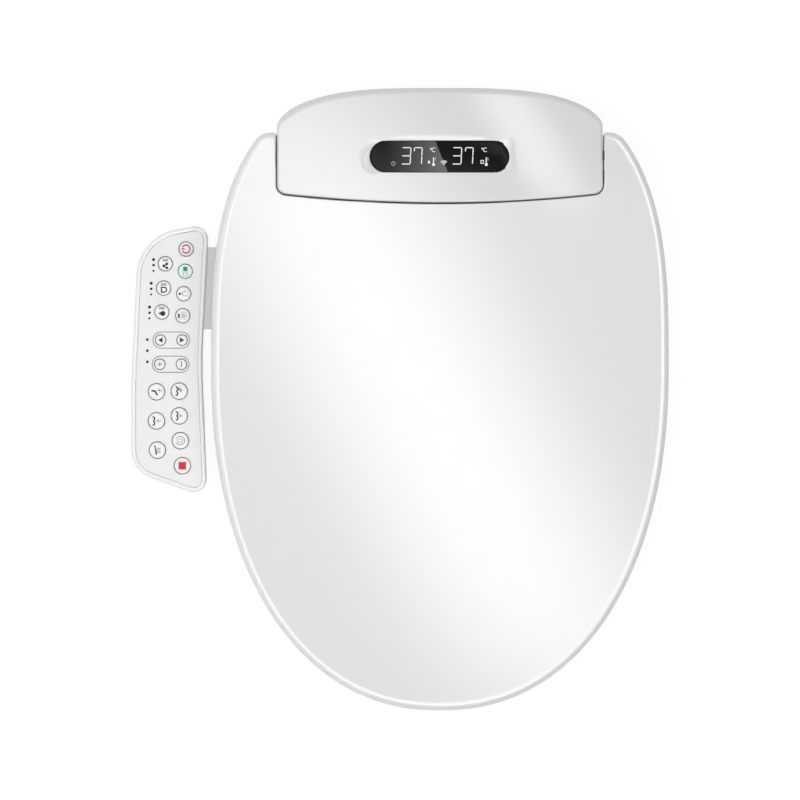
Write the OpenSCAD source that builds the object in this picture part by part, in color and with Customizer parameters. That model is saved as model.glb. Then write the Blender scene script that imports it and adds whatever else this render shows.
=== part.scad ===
/* [Bowl fixing] */
// Distance between the centres of the two fixing slots
fixing_pitch = 155; // [146:1:164]
// Width of each fixing slot
fixing_slot_w = 11; // [9:0.5:13]
// End-to-end length of each fixing slot
fixing_slot_len = 40; // [28:1:44]
// Metal of the mounting plate past the outer end of each slot
plate_end = 12.5; // [8:0.5:16]
// Depth of the mounting plate
plate_d = 40; // [34:1:44]
// Thickness of the mounting plate
plate_t = 5; // [4:0.5:6]

/* [Crown of lid and housing] */
// Radius of the ball that shapes the top of lid and housing
crown_r = 2864; // [2700:10:3000]
// Highest point of the housing above the bowl
crown_top = 98.5; // [97:0.5:102]
// How far the highest point lies behind the fixing slots
crown_y = 10; // [5:1:15]

/* [Lid] */
// Half the greatest width of the lid
lid_half_w = 190; // [186:1:196]
// How far the widest line lies in front of the fixing slots
lid_widest = 169; // [165:1:173]
// From the widest line to the front of the lid
lid_front_len = 286; // [282:1:290]
// From the widest line to the rear apex of the lid's outline
lid_rear_len = 240.5; // [238:0.5:245]
// Roundness of the front outline, 2 is an ellipse
lid_front_power = 2.2; // [2.1:0.05:2.3]
// Roundness of the rear outline, 2 is an ellipse
lid_rear_power = 3; // [2.9:0.05:3.1]
// Where the ears beside the housing end, behind the fixing slots
ear_end = 25; // [23:0.5:26]
// Wall thickness of the lid
lid_wall = 3; // [2.4:0.1:3.2]
// Height of the lid's skirt
lid_skirt = 20; // [18:0.5:22]

/* [Housing] */
// Half the width of the housing
case_half_w = 135.2; // [134:0.2:136]
// How far the housing reaches in front of the fixing slots
case_front = 33; // [31:0.5:34]
// Radius of the bowed front edge in plan
case_front_r = 1174; // [1000:10:1400]
// Corner radius at the front in plan
case_corner_r = 7.5; // [5:0.5:10]
// Where the straight sides end, behind the fixing slots
case_side_end = 30.5; // [29:0.5:32]
// Depth of the rounded rear behind the straight sides
case_rear_len = 31.5; // [30:0.5:34]
// Wall thickness of housing and lower case
case_wall = 2.5; // [2:0.1:3]
// Height of the line where cover and lower case meet
parting_z = 38; // [36.5:0.5:42]
// Seam between the lid and the housing
seam_gap = 1.4; // [1.2:0.1:1.8]

/* [Seat ring] */
// Highest point of the seat ring
seat_top_z = 76; // [75:0.5:78]
// How far that point lies in front of the fixing slots
seat_crown = 47; // [42:1:52]
// Underside of the seat ring above the bowl
seat_under_z = 18; // [17.5:0.5:20]
// How far the ring lies inside the lid's outline
seat_inset = 5; // [4.5:0.5:7]
// Rear face of the ring in front of the fixing slots
seat_rear = 40; // [38:0.5:42]
// Half the width of the opening
hole_half_w = 105; // [98:1:110]
// Half the length of the opening
hole_half_len = 133; // [125:1:138]
// Centre of the opening in front of the fixing slots
hole_centre = 251; // [247:1:255]
// Wall thickness of the seat shell
seat_wall = 3; // [2.5:0.1:3.5]
// Radius of each rubber foot under the ring
foot_r = 9; // [7:0.5:11]

/* [Hinge] */
// Height of the hinge line
hinge_z = 78; // [77:0.5:79]
// How far the hinge line lies behind the fixing slots
hinge_y = 6; // [5:0.5:7]
// Radius of the steel hinge pins
pin_r = 4; // [3:0.25:5]
// Running clearance of arms and ears on the pins
pin_clear = 0.05; // [0.03:0.01:0.09]
// Radius of the seat arms' bosses
arm_boss_r = 12; // [10:0.5:12.5]
// Thickness of each seat arm
arm_t = 9.3; // [8:0.1:9.5]
// Radius of the damper bodies
damper_r = 12; // [10:0.5:12.5]

/* [Wash wands] */
// Downward slope of the wands in degrees
wand_tilt = 30; // [29:0.5:31]
// Distance between the two wands
wand_pitch = 22; // [20:0.5:24]
// Radius of a wand
wand_r = 4.6; // [4:0.1:4.8]
// Length of a wand
wand_len = 128; // [122:1:130]
// Running clearance of the wands in their guides
wand_clear = 0.06; // [0.03:0.01:0.09]
// Height of the wand tips above the bowl
tip_z = 14; // [13:0.5:15]
// How far the wand tips lie in front of the fixing slots
tip_front = 90; // [88:0.5:91]
// Width of the nozzle nose
nose_w = 104; // [102:1:106]
// How far the nose reaches in front of the fixing slots
nose_front = 98; // [97:0.5:100]
// Height of the nose at its front
nose_h = 22; // [21.5:0.5:23]

/* [Wand drive] */
// Module of rack and gear
gear_module = 0.8; // [0.7:0.05:0.9]
// Teeth of each gear
gear_teeth = 12; // [11:1:13]
// Width of the gears
gear_w = 4; // [3:0.25:4.4]
// Radius of the stepper motors
motor_r = 8; // [7:0.25:8.5]

/* [Water and air] */
// Radius over the thread of the water inlet
inlet_r = 10.48; // [9:0.1:11]
// Length of the inlet's threaded spigot
inlet_len = 13.5; // [11:0.5:14]
// Radius of the dryer blower's case
blower_r = 21; // [18:0.5:22]
// Depth of the dryer blower's case
blower_d = 20; // [16:0.5:22]
// Width of the dryer duct
duct_w = 14; // [12:0.5:14.5]
// Height of the dryer duct
duct_h = 12; // [10:0.5:12.5]
// Bore of the gland for the mains lead
gland_bore_r = 3.7; // [3:0.1:4.5]
// Radius of the wash hoses
hose_r = 3; // [2:0.25:3.5]

/* [Display] */
// Length of the display window
window_len = 116; // [110:1:122]
// Width of the display window
window_w = 26.2; // [23:0.2:28]
// How far the window's centre lies behind the fixing slots
window_y = 5; // [3:0.5:7]
// Thickness of the window
window_t = 1.9; // [1.5:0.1:2]

/* [Side panel] */
// Height of the panel's top
panel_top = 46.6; // [44:0.2:50]
// Underside of the panel above the bowl
panel_under = 6; // [4:0.5:8]
// Height of the line where the panel's halves meet
panel_part_z = 26; // [22:1:30]
// Wall thickness of the panel
panel_wall = 2; // [1.6:0.1:2.4]
// Width of the raised rim round the face sheet
rim_w = 3.6; // [3:0.1:4.2]
// Thickness of the face sheet
sheet_t = 0.5; // [0.4:0.05:0.7]
// How far the keys stand above the face sheet
key_proud = 0.9; // [0.9:0.05:1.2]
// Radius of the upper round keys
key_r = 6.4; // [5.8:0.1:6.8]
// Radius of the paired keys in the middle
small_key_r = 4.8; // [4.2:0.1:5.4]
// Radius of the lower round keys
big_key_r = 7.3; // [6.6:0.1:7.8]
// Travel of every key
key_travel = 0.8; // [0.6:0.05:0.8]
// Top of the arm that carries the panel
arm_top = 15; // [12:0.5:15.5]
// Underside of the arm above the bowl
arm_under = 3; // [1:0.5:5]
// Top of the arm's riser, in the gap between the lid and the panel
riser_top = 42; // [36:0.5:43]
// How far the riser reaches under the lid's edge
riser_in = 3; // [2:0.1:3.5]

/* [Fasteners] */
// Radius of the case screws' shanks
screw_r = 1.75; // [1.5:0.05:2]
// Radius of the screws' heads
screw_head_r = 3.6; // [3:0.1:3.8]
// Radius of the screw posts
post_r = 4.5; // [4.2:0.1:5]

/* [Hidden] */
$fn = 48;
eps = 0.01;
seat_gap = 0.3;      // between pieces that only lie beside each other
skin_gap = 0.1;      // between curved faces that rest on each other
slot_pad = 4;        // room round a fixing slot for the bolt's head
pocket_h = 13;       // room above the plate for the bolt's head
tongue_w = 36;       // tongue on the plate that centres the housing
tongue_d = 24;
tongue_h = 3;

plate_w = fixing_pitch + fixing_slot_len + 2 * plate_end;
case_z = plate_t;
floor_z = case_z + case_wall;
case_in_x = case_half_w - case_wall;
crown_z0 = crown_top - crown_r;
lid_cut_half = case_half_w + seam_gap;
lid_cut_y = -(case_front + seam_gap);
hinge_at = [0, hinge_y, hinge_z];
arm_x0 = lid_cut_half + 1.7;
arm_x1 = arm_x0 + arm_t;
ear_x0 = arm_x1 + 0.9;
pin_end = ear_x0 + 8.7;
pin_bore_r = pin_r + pin_clear;
nose_slope = tan(wand_tilt);
hole_y = -hole_centre;
ring_in = seat_inset + seat_wall;
rack_pitch_x = wand_r + 1.8;
gear_pitch_r = gear_module * gear_teeth / 2;
gear_x = wand_pitch / 2 + rack_pitch_x + gear_pitch_r;
gear_y = 52;         // along the wand, from its tip at rest
wand_travel = 70;
guide_r = wand_r + wand_clear;
pocket_half = [fixing_slot_len / 2 + slot_pad, fixing_slot_w / 2 + slot_pad];
pocket_top = case_z + pocket_h;
duct_side = 4.9;     // from the duct to the inside of the nose
duct_x = nose_w / 2 - case_wall - duct_side - duct_w / 2;
gland_x = 40;        // the lead's gland in the rear wall
gland_z = 22;
leg_x = 19;          // legs of the nozzle cradle
leg_w = 4.5;
blower_x = 62;
blower_y0 = 17;
blower_z = floor_z + blower_r;
flap_z = floor_z + duct_h + 0.6;
inlet_y = 7;
inlet_z = 26;
inlet_in_x = -case_in_x + 1.7;   // inner end of the inlet, where the valve begins
valve_len = 23;
valve_under = pocket_top + case_wall + seat_gap;
valve_top = 39;
coil_x = inlet_in_x + 13;        // the valve's coil
coil_top = 46;
heater_len = 50;
heater_top = 60;
hose_z = 53;                     // height of the hoses between valve, heater and selector
heater_in_x = coil_x + 13;
heater_out_x = coil_x + 38;
selector_x = -fixing_pitch / 2;
selector_top = 50;
filter_y = 14;
deo_x0 = case_in_x - 14.9;       // inner side of the deodoriser's case
key_flange_top = panel_top - 0.6 - panel_wall - seat_gap;
board_z = panel_part_z + 10;
switch_h = 1.4;
cutout_w = nose_w + 1;

function crown_z(x, y) = crown_z0 + sqrt(crown_r * crown_r - x * x - (y - crown_y) * (y - crown_y));
function seat_z(x, y) = seat_top_z - crown_r
    + sqrt(crown_r * crown_r - x * x - (y + seat_crown) * (y + seat_crown));
function unit(v) = v / norm(v);
function signed_pow(v, e) = sign(v) * pow(abs(v), e);

// Points along a stretch of a rounded-square curve
function super_arc(a, b, p, q, from, to, steps) = [for (i = [0 : steps]) let (t = from + (to - from) * i / steps)
    [a * signed_pow(cos(t), 2 / p), b * signed_pow(sin(t), 2 / q)]];
function moved(points, dx, dy) = [for (p = points) [p.x + dx, p.y + dy]];
function arc(cx, cy, r, from, to, steps) = [for (i = [0 : steps]) let (t = from + (to - from) * i / steps)
    [cx + r * cos(t), cy + r * sin(t)]];

// Lid outline, drawn a little smaller by inset
function lid_outline(inset) = let (a = lid_half_w - inset) concat(
    moved(super_arc(a, lid_rear_len - inset, lid_rear_power, lid_rear_power, 0, 180, 40), 0, -lid_widest),
    moved(super_arc(a, lid_front_len - inset, lid_front_power, lid_front_power, 184, 356, 43), 0, -lid_widest));

// Housing outline, grown by grow on every side
front_arc_x = case_half_w - case_corner_r;
front_corner_y = -case_front + case_front_r - sqrt(case_front_r * case_front_r - front_arc_x * front_arc_x);
corner_cy = front_corner_y + case_corner_r;
function case_outline(grow) = concat(
    moved(super_arc(case_half_w + grow, case_rear_len + grow, 3.2, 1.7, 0, 180, 36), 0, case_side_end),
    arc(-front_arc_x, corner_cy, case_corner_r + grow, 180, 264, 6),
    [for (i = [-7 : 7]) let (x = front_arc_x * i / 7.6)
        [x, -case_front - grow + case_front_r - sqrt(case_front_r * case_front_r - x * x)]],
    arc(front_arc_x, corner_cy, case_corner_r + grow, 276, 360, 6));

// Opening of the seat ring
function hole_outline(grow) = moved(super_arc(hole_half_w + grow, hole_half_len + grow, 2.2, 2.2, 0, 355, 71), 0, hole_y);

// Outlines given by corners [x, y, radius], counter-clockwise
function corner_arc(a, p, b, r) = let (u = unit(a - p), w = unit(b - p), half = acos(u * w) / 2,
    c = p + unit(u + w) * r / sin(half), s = p + u * r / tan(half) - c, e = p + w * r / tan(half) - c,
    a0 = atan2(s.y, s.x), turn = ((atan2(e.y, e.x) - a0 + 540) % 360) - 180, steps = abs(turn) > 20 ? 8 : 3)
    [for (i = [0 : steps]) c + r * [cos(a0 + turn * i / steps), sin(a0 + turn * i / steps)]];
function flat_xy(c) = [c.x, c.y];
function round_outline(c) = let (n = len(c)) [for (i = [0 : n - 1])
    each corner_arc(flat_xy(c[(i + n - 1) % n]), flat_xy(c[i]), flat_xy(c[(i + 1) % n]), c[i].z)];
function inset_corners(c, d) = let (n = len(c)) [for (i = [0 : n - 1]) let (p = flat_xy(c[i]),
    e1 = unit(p - flat_xy(c[(i + n - 1) % n])), e2 = unit(flat_xy(c[(i + 1) % n]) - p),
    n1 = [-e1.y, e1.x], n2 = [-e2.y, e2.x], q = p + d * (n1 + n2) / (1 + n1 * n2),
    bend = e1.x * e2.y - e1.y * e2.x) [q.x, q.y, c[i].z + (bend > 0 ? -d : d)]];

// The panel's places are given from its rear corner beside the lid
panel_x = -lid_half_w - 2;
function on_panel(places) = [for (p = places) [for (i = [0 : len(p) - 1]) i == 0 ? panel_x + p[0] : p[i]]];
panel_corners = on_panel([[0, -50, 11], [-59, -61.5, 40], [-64.8, -185, 400], [-64.5, -256, 24],
    [-1.2, -278.5, 11], [-5.8, -165, 500]]);
panel_screw_places = on_panel([[-51, -112], [-12.5, -178], [-55, -250], [-12, -141]]);
board_rests = on_panel([[-30, -75], [-34, -178], [-33, -252]]);

// Keys: name, place on the panel, radius
key_list = [["key_power", [-19, -71.5], key_r], ["key_eco", [-19.7, -90], key_r],
    ["key_light", [-21, -108.7], key_r], ["key_flush", [-21.8, -127], key_r],
    ["key_air", [-36.3, -83.8], key_r], ["key_seat", [-37.7, -104], key_r],
    ["key_water", [-39.2, -123.8], key_r],
    ["key_up", [-40.2, -147.2], small_key_r], ["key_down", [-22.4, -147.2], small_key_r],
    ["key_plus", [-40.8, -167.3], small_key_r], ["key_minus", [-22.9, -167.3], small_key_r],
    ["key_front_wash", [-43.6, -190.2], big_key_r], ["key_rear_wash", [-43.6, -214.4], big_key_r],
    ["key_self_clean", [-42.8, -238.7], big_key_r], ["key_dry", [-24.7, -189.7], big_key_r],
    ["key_assist", [-24.6, -210.2], big_key_r], ["key_child", [-23.7, -230.8], big_key_r],
    ["key_stop", [-22.1, -251.6], big_key_r]];
keys = [for (k = key_list) [k[0], on_panel([k[1]])[0], k[2]]];

white = "#f2f2f2";
grey = "#c9cbcc";
dark = "#3c3e42";

module prism(points, z0, z1) translate([0, 0, z0]) linear_extrude(z1 - z0) polygon(points);
module box(lo, hi) translate(lo) cube(hi - lo);
module both_sides() {
    children();
    mirror([1, 0, 0]) children();
}
// Outline in Y and Z, drawn out from x0 to x1
module side_prism(points, x0, x1) translate([x0, 0, 0]) rotate([90, 0, 90]) linear_extrude(x1 - x0) polygon(points);
module rod_x(x0, x1, y, z, r) translate([x0, y, z]) rotate([0, 90, 0]) cylinder(r = r, h = x1 - x0);
module rod_y(y0, y1, x, z, r) translate([x, y1, z]) rotate([90, 0, 0]) cylinder(r = r, h = y1 - y0);
module rod_z(z0, z1, x, y, r) translate([x, y, z0]) cylinder(r = r, h = z1 - z0);

// Everything below a ball of radius crown_r whose top is at the given place, raised by grow
module below_crown(y, top, grow) translate([0, y, top - crown_r]) rotate_extrude($fn = 120) intersection() {
    circle(r = crown_r + grow, $fn = 1440);
    translate([0, crown_r - 150]) square([520, 170]);
}
module below_lid(grow) below_crown(crown_y, crown_top, grow);
module below_seat(grow) below_crown(-seat_crown, seat_top_z, grow);

// Barrel round the hinge line: the lid's cut edge runs along it when it opens
barrel_r = norm([lid_cut_y - hinge_y, crown_z(0, lid_cut_y) - hinge_z]);
barrel_side = norm([front_corner_y - seam_gap - hinge_y, crown_z(front_arc_x, front_corner_y) - hinge_z]);
barrel_bow = (front_arc_x * front_arc_x + pow(barrel_r - barrel_side, 2)) / (2 * (barrel_r - barrel_side));
module barrel(grow, half) translate(hinge_at) rotate([0, 90, 0]) rotate_extrude($fn = 120) intersection() {
    translate([barrel_r + grow - barrel_bow, 0]) circle(r = barrel_bow, $fn = 1440);
    translate([0, -half]) square([barrel_r + 5, 2 * half]);
}

// Local frame of the wands: Y runs from the tip at rest to the tail
module along_wand() translate([0, -tip_front, tip_z]) rotate([wand_tilt, 0, 0]) children();

module stadium(len, width, grow, z0, z1) {
    r = width / 2 + grow;
    for (side = [-1, 1]) translate([side * (len - width) / 2, 0, z0]) cylinder(r = r, h = z1 - z0);
    translate([-(len - width) / 2, -r, z0]) cube([len - width, 2 * r, z1 - z0]);
}

// ---- bowl fixing and lower case ----
module fixing_slots(z0, z1) for (side = [-1, 1]) translate([side * fixing_pitch / 2, 0, 0])
    stadium(fixing_slot_len, fixing_slot_w, 0, z0, z1);

module mounting_plate() color(grey) difference() {
    union() {
        box([-plate_w / 2, -plate_d / 2, 0], [plate_w / 2, plate_d / 2, plate_t]);
        box([-tongue_w / 2, -tongue_d / 2, plate_t - eps], [tongue_w / 2, tongue_d / 2, plate_t + tongue_h]);
    }
    fixing_slots(-1, plate_t + 1);
}

nose_top_y = -case_front + case_wall;
function nose_z(y) = nose_h + (y + nose_front) * nose_slope;
nose_profile = [[nose_top_y, case_z], [-nose_front + 10, case_z], [-nose_front, case_z + 6], [-nose_front, nose_h],
    [nose_top_y, nose_z(nose_top_y)]];
nose_drop = case_wall / cos(wand_tilt);
nose_hollow = [[nose_top_y + 6, floor_z], [-nose_front + 10, floor_z], [-nose_front + case_wall, case_z + 7.5],
    [-nose_front + case_wall, nose_z(-nose_front + case_wall) - nose_drop],
    [nose_top_y + 6, nose_z(nose_top_y + 6) - nose_drop]];
post_places = [[60, 46], [-60, 46], [104, -20], [-104, -20]];

module lower_case() color(white) difference() {
    union() {
        difference() {
            union() {
                prism(case_outline(0), case_z, parting_z);
                side_prism(nose_profile, -nose_w / 2, nose_w / 2);
            }
            prism(case_outline(-case_wall), floor_z, parting_z + 1);
            side_prism(nose_hollow, -nose_w / 2 + case_wall, nose_w / 2 - case_wall);
        }
        // Domes over the heads of the fixing bolts
        for (side = [-1, 1]) translate([side * fixing_pitch / 2, 0, 0])
            box([-pocket_half.x - case_wall, -pocket_half.y - case_wall, case_z],
                [pocket_half.x + case_wall, pocket_half.y + case_wall, pocket_top + case_wall]);
        box([-tongue_w / 2 - 3, -tongue_d / 2 - 3, case_z], [tongue_w / 2 + 3, tongue_d / 2 + 3, floor_z + 3]);
        for (p = post_places) rod_z(case_z, parting_z, p.x, p.y, post_r);
        // Guide of the release button
        box([110, -17, case_z], [114, -5, 21]);
        // Ears of the dryer flap
        for (x = [duct_x - duct_w / 2 - 3, duct_x + duct_w / 2 + 1])
            box([x, -nose_front - 3, flap_z - 2.2], [x + 2, -nose_front + 1, flap_z + 1.6]);
    }
    for (side = [-1, 1]) translate([side * fixing_pitch / 2, 0, 0])
        box([-pocket_half.x, -pocket_half.y, case_z - 1], [pocket_half.x, pocket_half.y, pocket_top]);
    box([-tongue_w / 2 - 0.3, -tongue_d / 2 - 0.3, case_z - 1], [tongue_w / 2 + 0.3, tongue_d / 2 + 0.3, floor_z + 0.6]);
    for (p = post_places) {
        rod_z(case_z - 1, parting_z + 1, p.x, p.y, screw_r + 0.4);
        rod_z(case_z - 1, case_z + 3, p.x, p.y, screw_head_r + 0.4);
    }
    // Ports: wands, dryer, night light
    box([-gear_x + 3, -nose_front - 1, case_z - 1], [gear_x - 3, -tip_front + 6, tip_z + 5.5]);
    box([duct_x - duct_w / 2 + 1, -nose_front - 1, floor_z + 1.5],
        [duct_x + duct_w / 2 - 1, -nose_front + 4, floor_z + duct_h - 1.5]);
    box([-duct_x - 6, -nose_front - 1, floor_z + 3], [-duct_x + 6, -nose_front + 4, floor_z + 9]);
    rod_x(duct_x - duct_w, duct_x + duct_w, -nose_front - 1.2, flap_z, 1.05);
    // Side ports: water inlet, filter, release button, lead gland
    rod_x(-case_half_w - 1, -case_in_x + 1, inlet_y, inlet_z, inlet_r - 0.7);
    box([case_in_x - 1, filter_y - 12.3, floor_z + 1.2], [case_half_w + 1, filter_y + 12.3, floor_z + 26.8]);
    box([108, -13.3, 12.7], [116, -8.7, 17.3]);
    box([case_in_x - 1, -16.3, 9.7], [case_half_w + 1, -5.7, 20.3]);
    rod_y(50, 70, gland_x, gland_z, gland_bore_r + 3.3);
}

module rear_cover() color(white) difference() {
    union() {
        difference() {
            intersection() {
                prism(case_outline(0), parting_z, crown_top + 5);
                below_lid(0);
                union() {
                    barrel(-2, case_half_w + 2);
                    box([-200, hinge_y, 0], [200, 100, 120]);
                    box([-200, -100, 0], [200, 100, hinge_z]);
                }
            }
            intersection() {
                prism(case_outline(-case_wall), parting_z - 1, crown_top + 5);
                below_lid(-case_wall);
                union() {
                    barrel(-2 - case_wall, case_half_w + 2);
                    box([-200, hinge_y, 0], [200, 100, 120]);
                    box([-200, -100, 0], [200, 100, hinge_z]);
                }
            }
        }
        // Sockets of the dampers and posts of the screws, joined to the shell
        intersection() {
            prism(case_outline(-1), parting_z, crown_top + 5);
            below_lid(-1);
            union() {
                both_sides() rod_x(case_in_x - 12, case_half_w - 1, hinge_y, hinge_z, damper_r + 2.3);
                for (p = post_places) rod_z(parting_z, crown_top + 5, p.x, p.y, post_r);
            }
        }
    }
    both_sides() rod_x(case_in_x - 13, case_in_x, hinge_y, hinge_z, damper_r + 0.1);
    both_sides() rod_x(case_in_x - 1, case_half_w + 1, hinge_y, hinge_z, pin_r + 0.3);
    for (p = post_places) rod_z(parting_z - 1, parting_z + 16, p.x, p.y, screw_r + 0.05);
    box([-cutout_w / 2, -case_front - 5, parting_z - 1], [cutout_w / 2, nose_top_y + 2, nose_z(nose_top_y) + 1]);
    // Window: a recess for the lens, and the opening behind it
    difference() {
        translate([0, window_y, 0]) stadium(window_len, window_w, 0.2, crown_top - 9, crown_top + 5);
        below_lid(0.3 - window_t - skin_gap);
    }
    translate([0, window_y, 0]) stadium(window_len, window_w, -3, crown_top - 12, crown_top + 5);
}

module display_lens() color("#202022") difference() {
    intersection() {
        translate([0, window_y, 0]) stadium(window_len, window_w, 0, crown_top - 9, crown_top + 5);
        below_lid(0.3);
    }
    below_lid(0.3 - window_t);
}

module display_board() color("#2f6b4a") union() {
    box([-52, window_y - 10, crown_top - 10.5], [52, window_y + 10, crown_top - 8.9]);
    for (x = [-26, 20]) box([x - 12, window_y - 7, crown_top - 8.9 - eps], [x + 12, window_y + 7, crown_top - 5]);
    intersection() {
        for (x = [-49, 49], y = [-16, 16]) translate([0, window_y, 0]) union() {
            rod_z(crown_top - 10.5, crown_top, x, y, 2.2);
            box([x - 2.2, min(y, 0), crown_top - 10.5], [x + 2.2, max(y, 0), crown_top - 8.9]);
        }
        below_lid(-case_wall - skin_gap);
    }
}

module main_board() color("#2f6b4a") union() {
    box([-46, 52, floor_z], [26, 53.6, 70]);
    box([-40, 34, 30], [-14, 52 + eps, 52]);
    box([-6, 40, 34], [10, 52 + eps, 46]);
    for (x = [-36, -22, -8, 6]) rod_y(42, 52 + eps, x, 61, 4.5);
    box([-30, 46, floor_z + 4], [16, 52 + eps, floor_z + 12]);
}

// ---- water ----
module water_inlet() color("#b8a15a") difference() {
    union() {
        rod_x(-case_half_w - 1.2 - inlet_len, -case_half_w - 1.2 + eps, inlet_y, inlet_z, inlet_r);
        rod_x(-case_half_w - 1.2, -case_half_w, inlet_y, inlet_z, inlet_r + 1.7);
        rod_x(-case_half_w - eps, inlet_in_x, inlet_y, inlet_z, inlet_r - 1);
    }
    rod_x(-case_half_w - inlet_len - 5, -case_in_x + 5, inlet_y, inlet_z, 6);
}

module inlet_valve() color(dark) union() {
    box([inlet_in_x, inlet_y - 9.5, valve_under], [inlet_in_x + valve_len, inlet_y + 9.5, valve_top]);
    rod_z(valve_top - eps, coil_top, coil_x, inlet_y, 7.5);
}

module water_heater() color(grey) union() {
    box([coil_x, 18, floor_z], [coil_x + heater_len, 44, heater_top]);
    for (x = [heater_in_x, heater_out_x]) rod_y(15, 18 + eps, x, hose_z, hose_r + 1.5);
    box([coil_x + 18, 22, heater_top - eps], [coil_x + 32, 40, heater_top + 3]);
}

module flow_selector() color(dark) union() {
    rod_z(pocket_top + case_wall, selector_top - 6, selector_x, 0, 13.5);
    rod_z(selector_top - 6 - eps, selector_top, selector_x, 0, 9);
}

// Hose along straight runs, each drawn on by r past a bend so that the runs join
module hose(points, r) for (i = [0 : len(points) - 2]) {
    run = points[i + 1] - points[i];
    start = i > 0 ? r : 0;
    end = i < len(points) - 2 ? r : 0;
    translate(points[i]) rotate([0, acos(run.z / norm(run)), atan2(run.y, run.x)])
        translate([0, 0, -start]) cylinder(r = r, h = norm(run) + start + end);
}

module inner_hoses() color("#dfe6ea") union() {
    hose([[coil_x, inlet_y, coil_top], [coil_x, inlet_y, hose_z], [heater_in_x, inlet_y, hose_z],
        [heater_in_x, 15, hose_z]], hose_r);
    hose([[heater_out_x, 15, hose_z], [heater_out_x, inlet_y, hose_z], [selector_x, 2, hose_z],
        [selector_x, 2, selector_top]], hose_r);
    hose([[selector_x + 5.5, -4, selector_top], [selector_x + 5.5, -4, 66], [-21.5, -4, 66], [-21.5, 24, 66],
        [-21.5, 24, 78], [-17.5, 24, 78]], hose_r);
}

// ---- air ----
module blower_case() color(dark) {
    back = blower_y0 + blower_d;
    difference() {
        union() {
            rod_y(blower_y0, back, blower_x, blower_z, blower_r);
            box([duct_x - duct_w / 2, blower_y0, floor_z], [blower_x, back, floor_z + duct_h]);
        }
        rod_y(blower_y0 + 2, back - 2, blower_x, blower_z, blower_r - 2);
        box([duct_x - duct_w / 2 + 2, blower_y0 + 2, floor_z + 2], [blower_x, back - 2, floor_z + duct_h - 2]);
        rod_y(blower_y0 - 1, blower_y0 + 3, blower_x, blower_z, blower_r / 2);
        box([duct_x - duct_w / 2 + 2, blower_y0 - 1, floor_z + 2],
            [duct_x + duct_w / 2 - 2, blower_y0 + 3, floor_z + duct_h - 2]);
    }
    rod_y(blower_y0 + 4, back - 2 + eps, blower_x, blower_z, 2);
    rod_y(back - eps, back + 3.5, blower_x, blower_z, blower_r * 0.6);
}

module blower_wheel() color(grey) {
    r = blower_r - 4;
    y0 = blower_y0 + 4;
    y1 = blower_y0 + blower_d - 3;
    difference() {
        union() {
            rod_y(y1 - 1.5, y1, blower_x, blower_z, r);
            rod_y(y0 + 1, y1 - 1.5 + eps, blower_x, blower_z, 4.5);
            for (i = [0 : 11]) translate([blower_x, y0, blower_z]) rotate([0, i * 30, 0])
                translate([r - 5.5, 0, -0.5]) rotate([0, 20, 0]) cube([5, y1 - y0 - 1.5 + eps, 1]);
        }
        rod_y(y0 - 1, y1 + 1, blower_x, blower_z, 2.05);
    }
}

module dryer_duct() color(grey) difference() {
    box([duct_x - duct_w / 2, -nose_front + 10, floor_z],
        [duct_x + duct_w / 2, blower_y0, floor_z + duct_h]);
    box([duct_x - duct_w / 2 + 1.4, -nose_front, floor_z + 1.4],
        [duct_x + duct_w / 2 - 1.4, blower_y0 + 1, floor_z + duct_h - 1.4]);
}

module dryer_flap() color(white) union() {
    box([duct_x - duct_w / 2 - 0.4, -nose_front - 1.8, floor_z + 0.8],
        [duct_x + duct_w / 2 + 0.4, -nose_front - 0.3, flap_z]);
    rod_x(duct_x - duct_w / 2 - 0.4, duct_x + duct_w / 2 + 0.4, -nose_front - 1.2, flap_z, 1.6 - 0.7);
    rod_x(duct_x - duct_w / 2 - 2.6, duct_x + duct_w / 2 + 2.6, -nose_front - 1.2, flap_z, 1);
}

module deodoriser_case() color(dark) difference() {
    box([deo_x0, filter_y - 13.5, floor_z], [case_in_x - 0.3, filter_y + 13.5, floor_z + 28.5]);
    box([deo_x0 + 1.5, filter_y - 12, floor_z + 1.5], [case_in_x + 1, filter_y + 12, floor_z + 26.5]);
    rod_x(deo_x0 - 1, deo_x0 + 3, filter_y, floor_z + 14, 8);
}

module deodoriser_filter() color(grey) difference() {
    box([deo_x0 + 2, filter_y - 11.8, floor_z + 1.7], [case_half_w, filter_y + 11.8, floor_z + 26.3]);
    for (z = [5 : 5 : 23]) box([deo_x0 + 3.5, filter_y - 9, floor_z + z],
        [case_half_w - 3.5, filter_y + 9, floor_z + z + 2.5]);
    box([case_half_w - 1.5, filter_y - 7, floor_z + 10], [case_half_w + 1, filter_y + 7, floor_z + 17]);
}

// ---- wash wands and their drive ----
gear_pitch_step = PI * gear_module;
tooth_out = 0.55 * gear_module;
tooth_in = 1.1 * gear_module;
tan20 = tan(20);
tooth_half = gear_pitch_step / 4 - 0.05;

// Rack along Y with its pitch line at x = 0 and its teeth towards +X
function rack_points(y0, count) = concat([[-tooth_in - 1.2, y0]],
    [for (i = [0 : count - 1]) let (c = y0 + gear_pitch_step * (i + 0.5), hi = tooth_half - tooth_out * tan20,
        lo = tooth_half + tooth_in * tan20) each [[-tooth_in, c - lo], [tooth_out, c - hi], [tooth_out, c + hi], [-tooth_in, c + lo]]],
    [[-tooth_in - 1.2, y0 + gear_pitch_step * count]]);

rack_count = 29;
rack_y0 = gear_y - gear_pitch_step;

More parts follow.
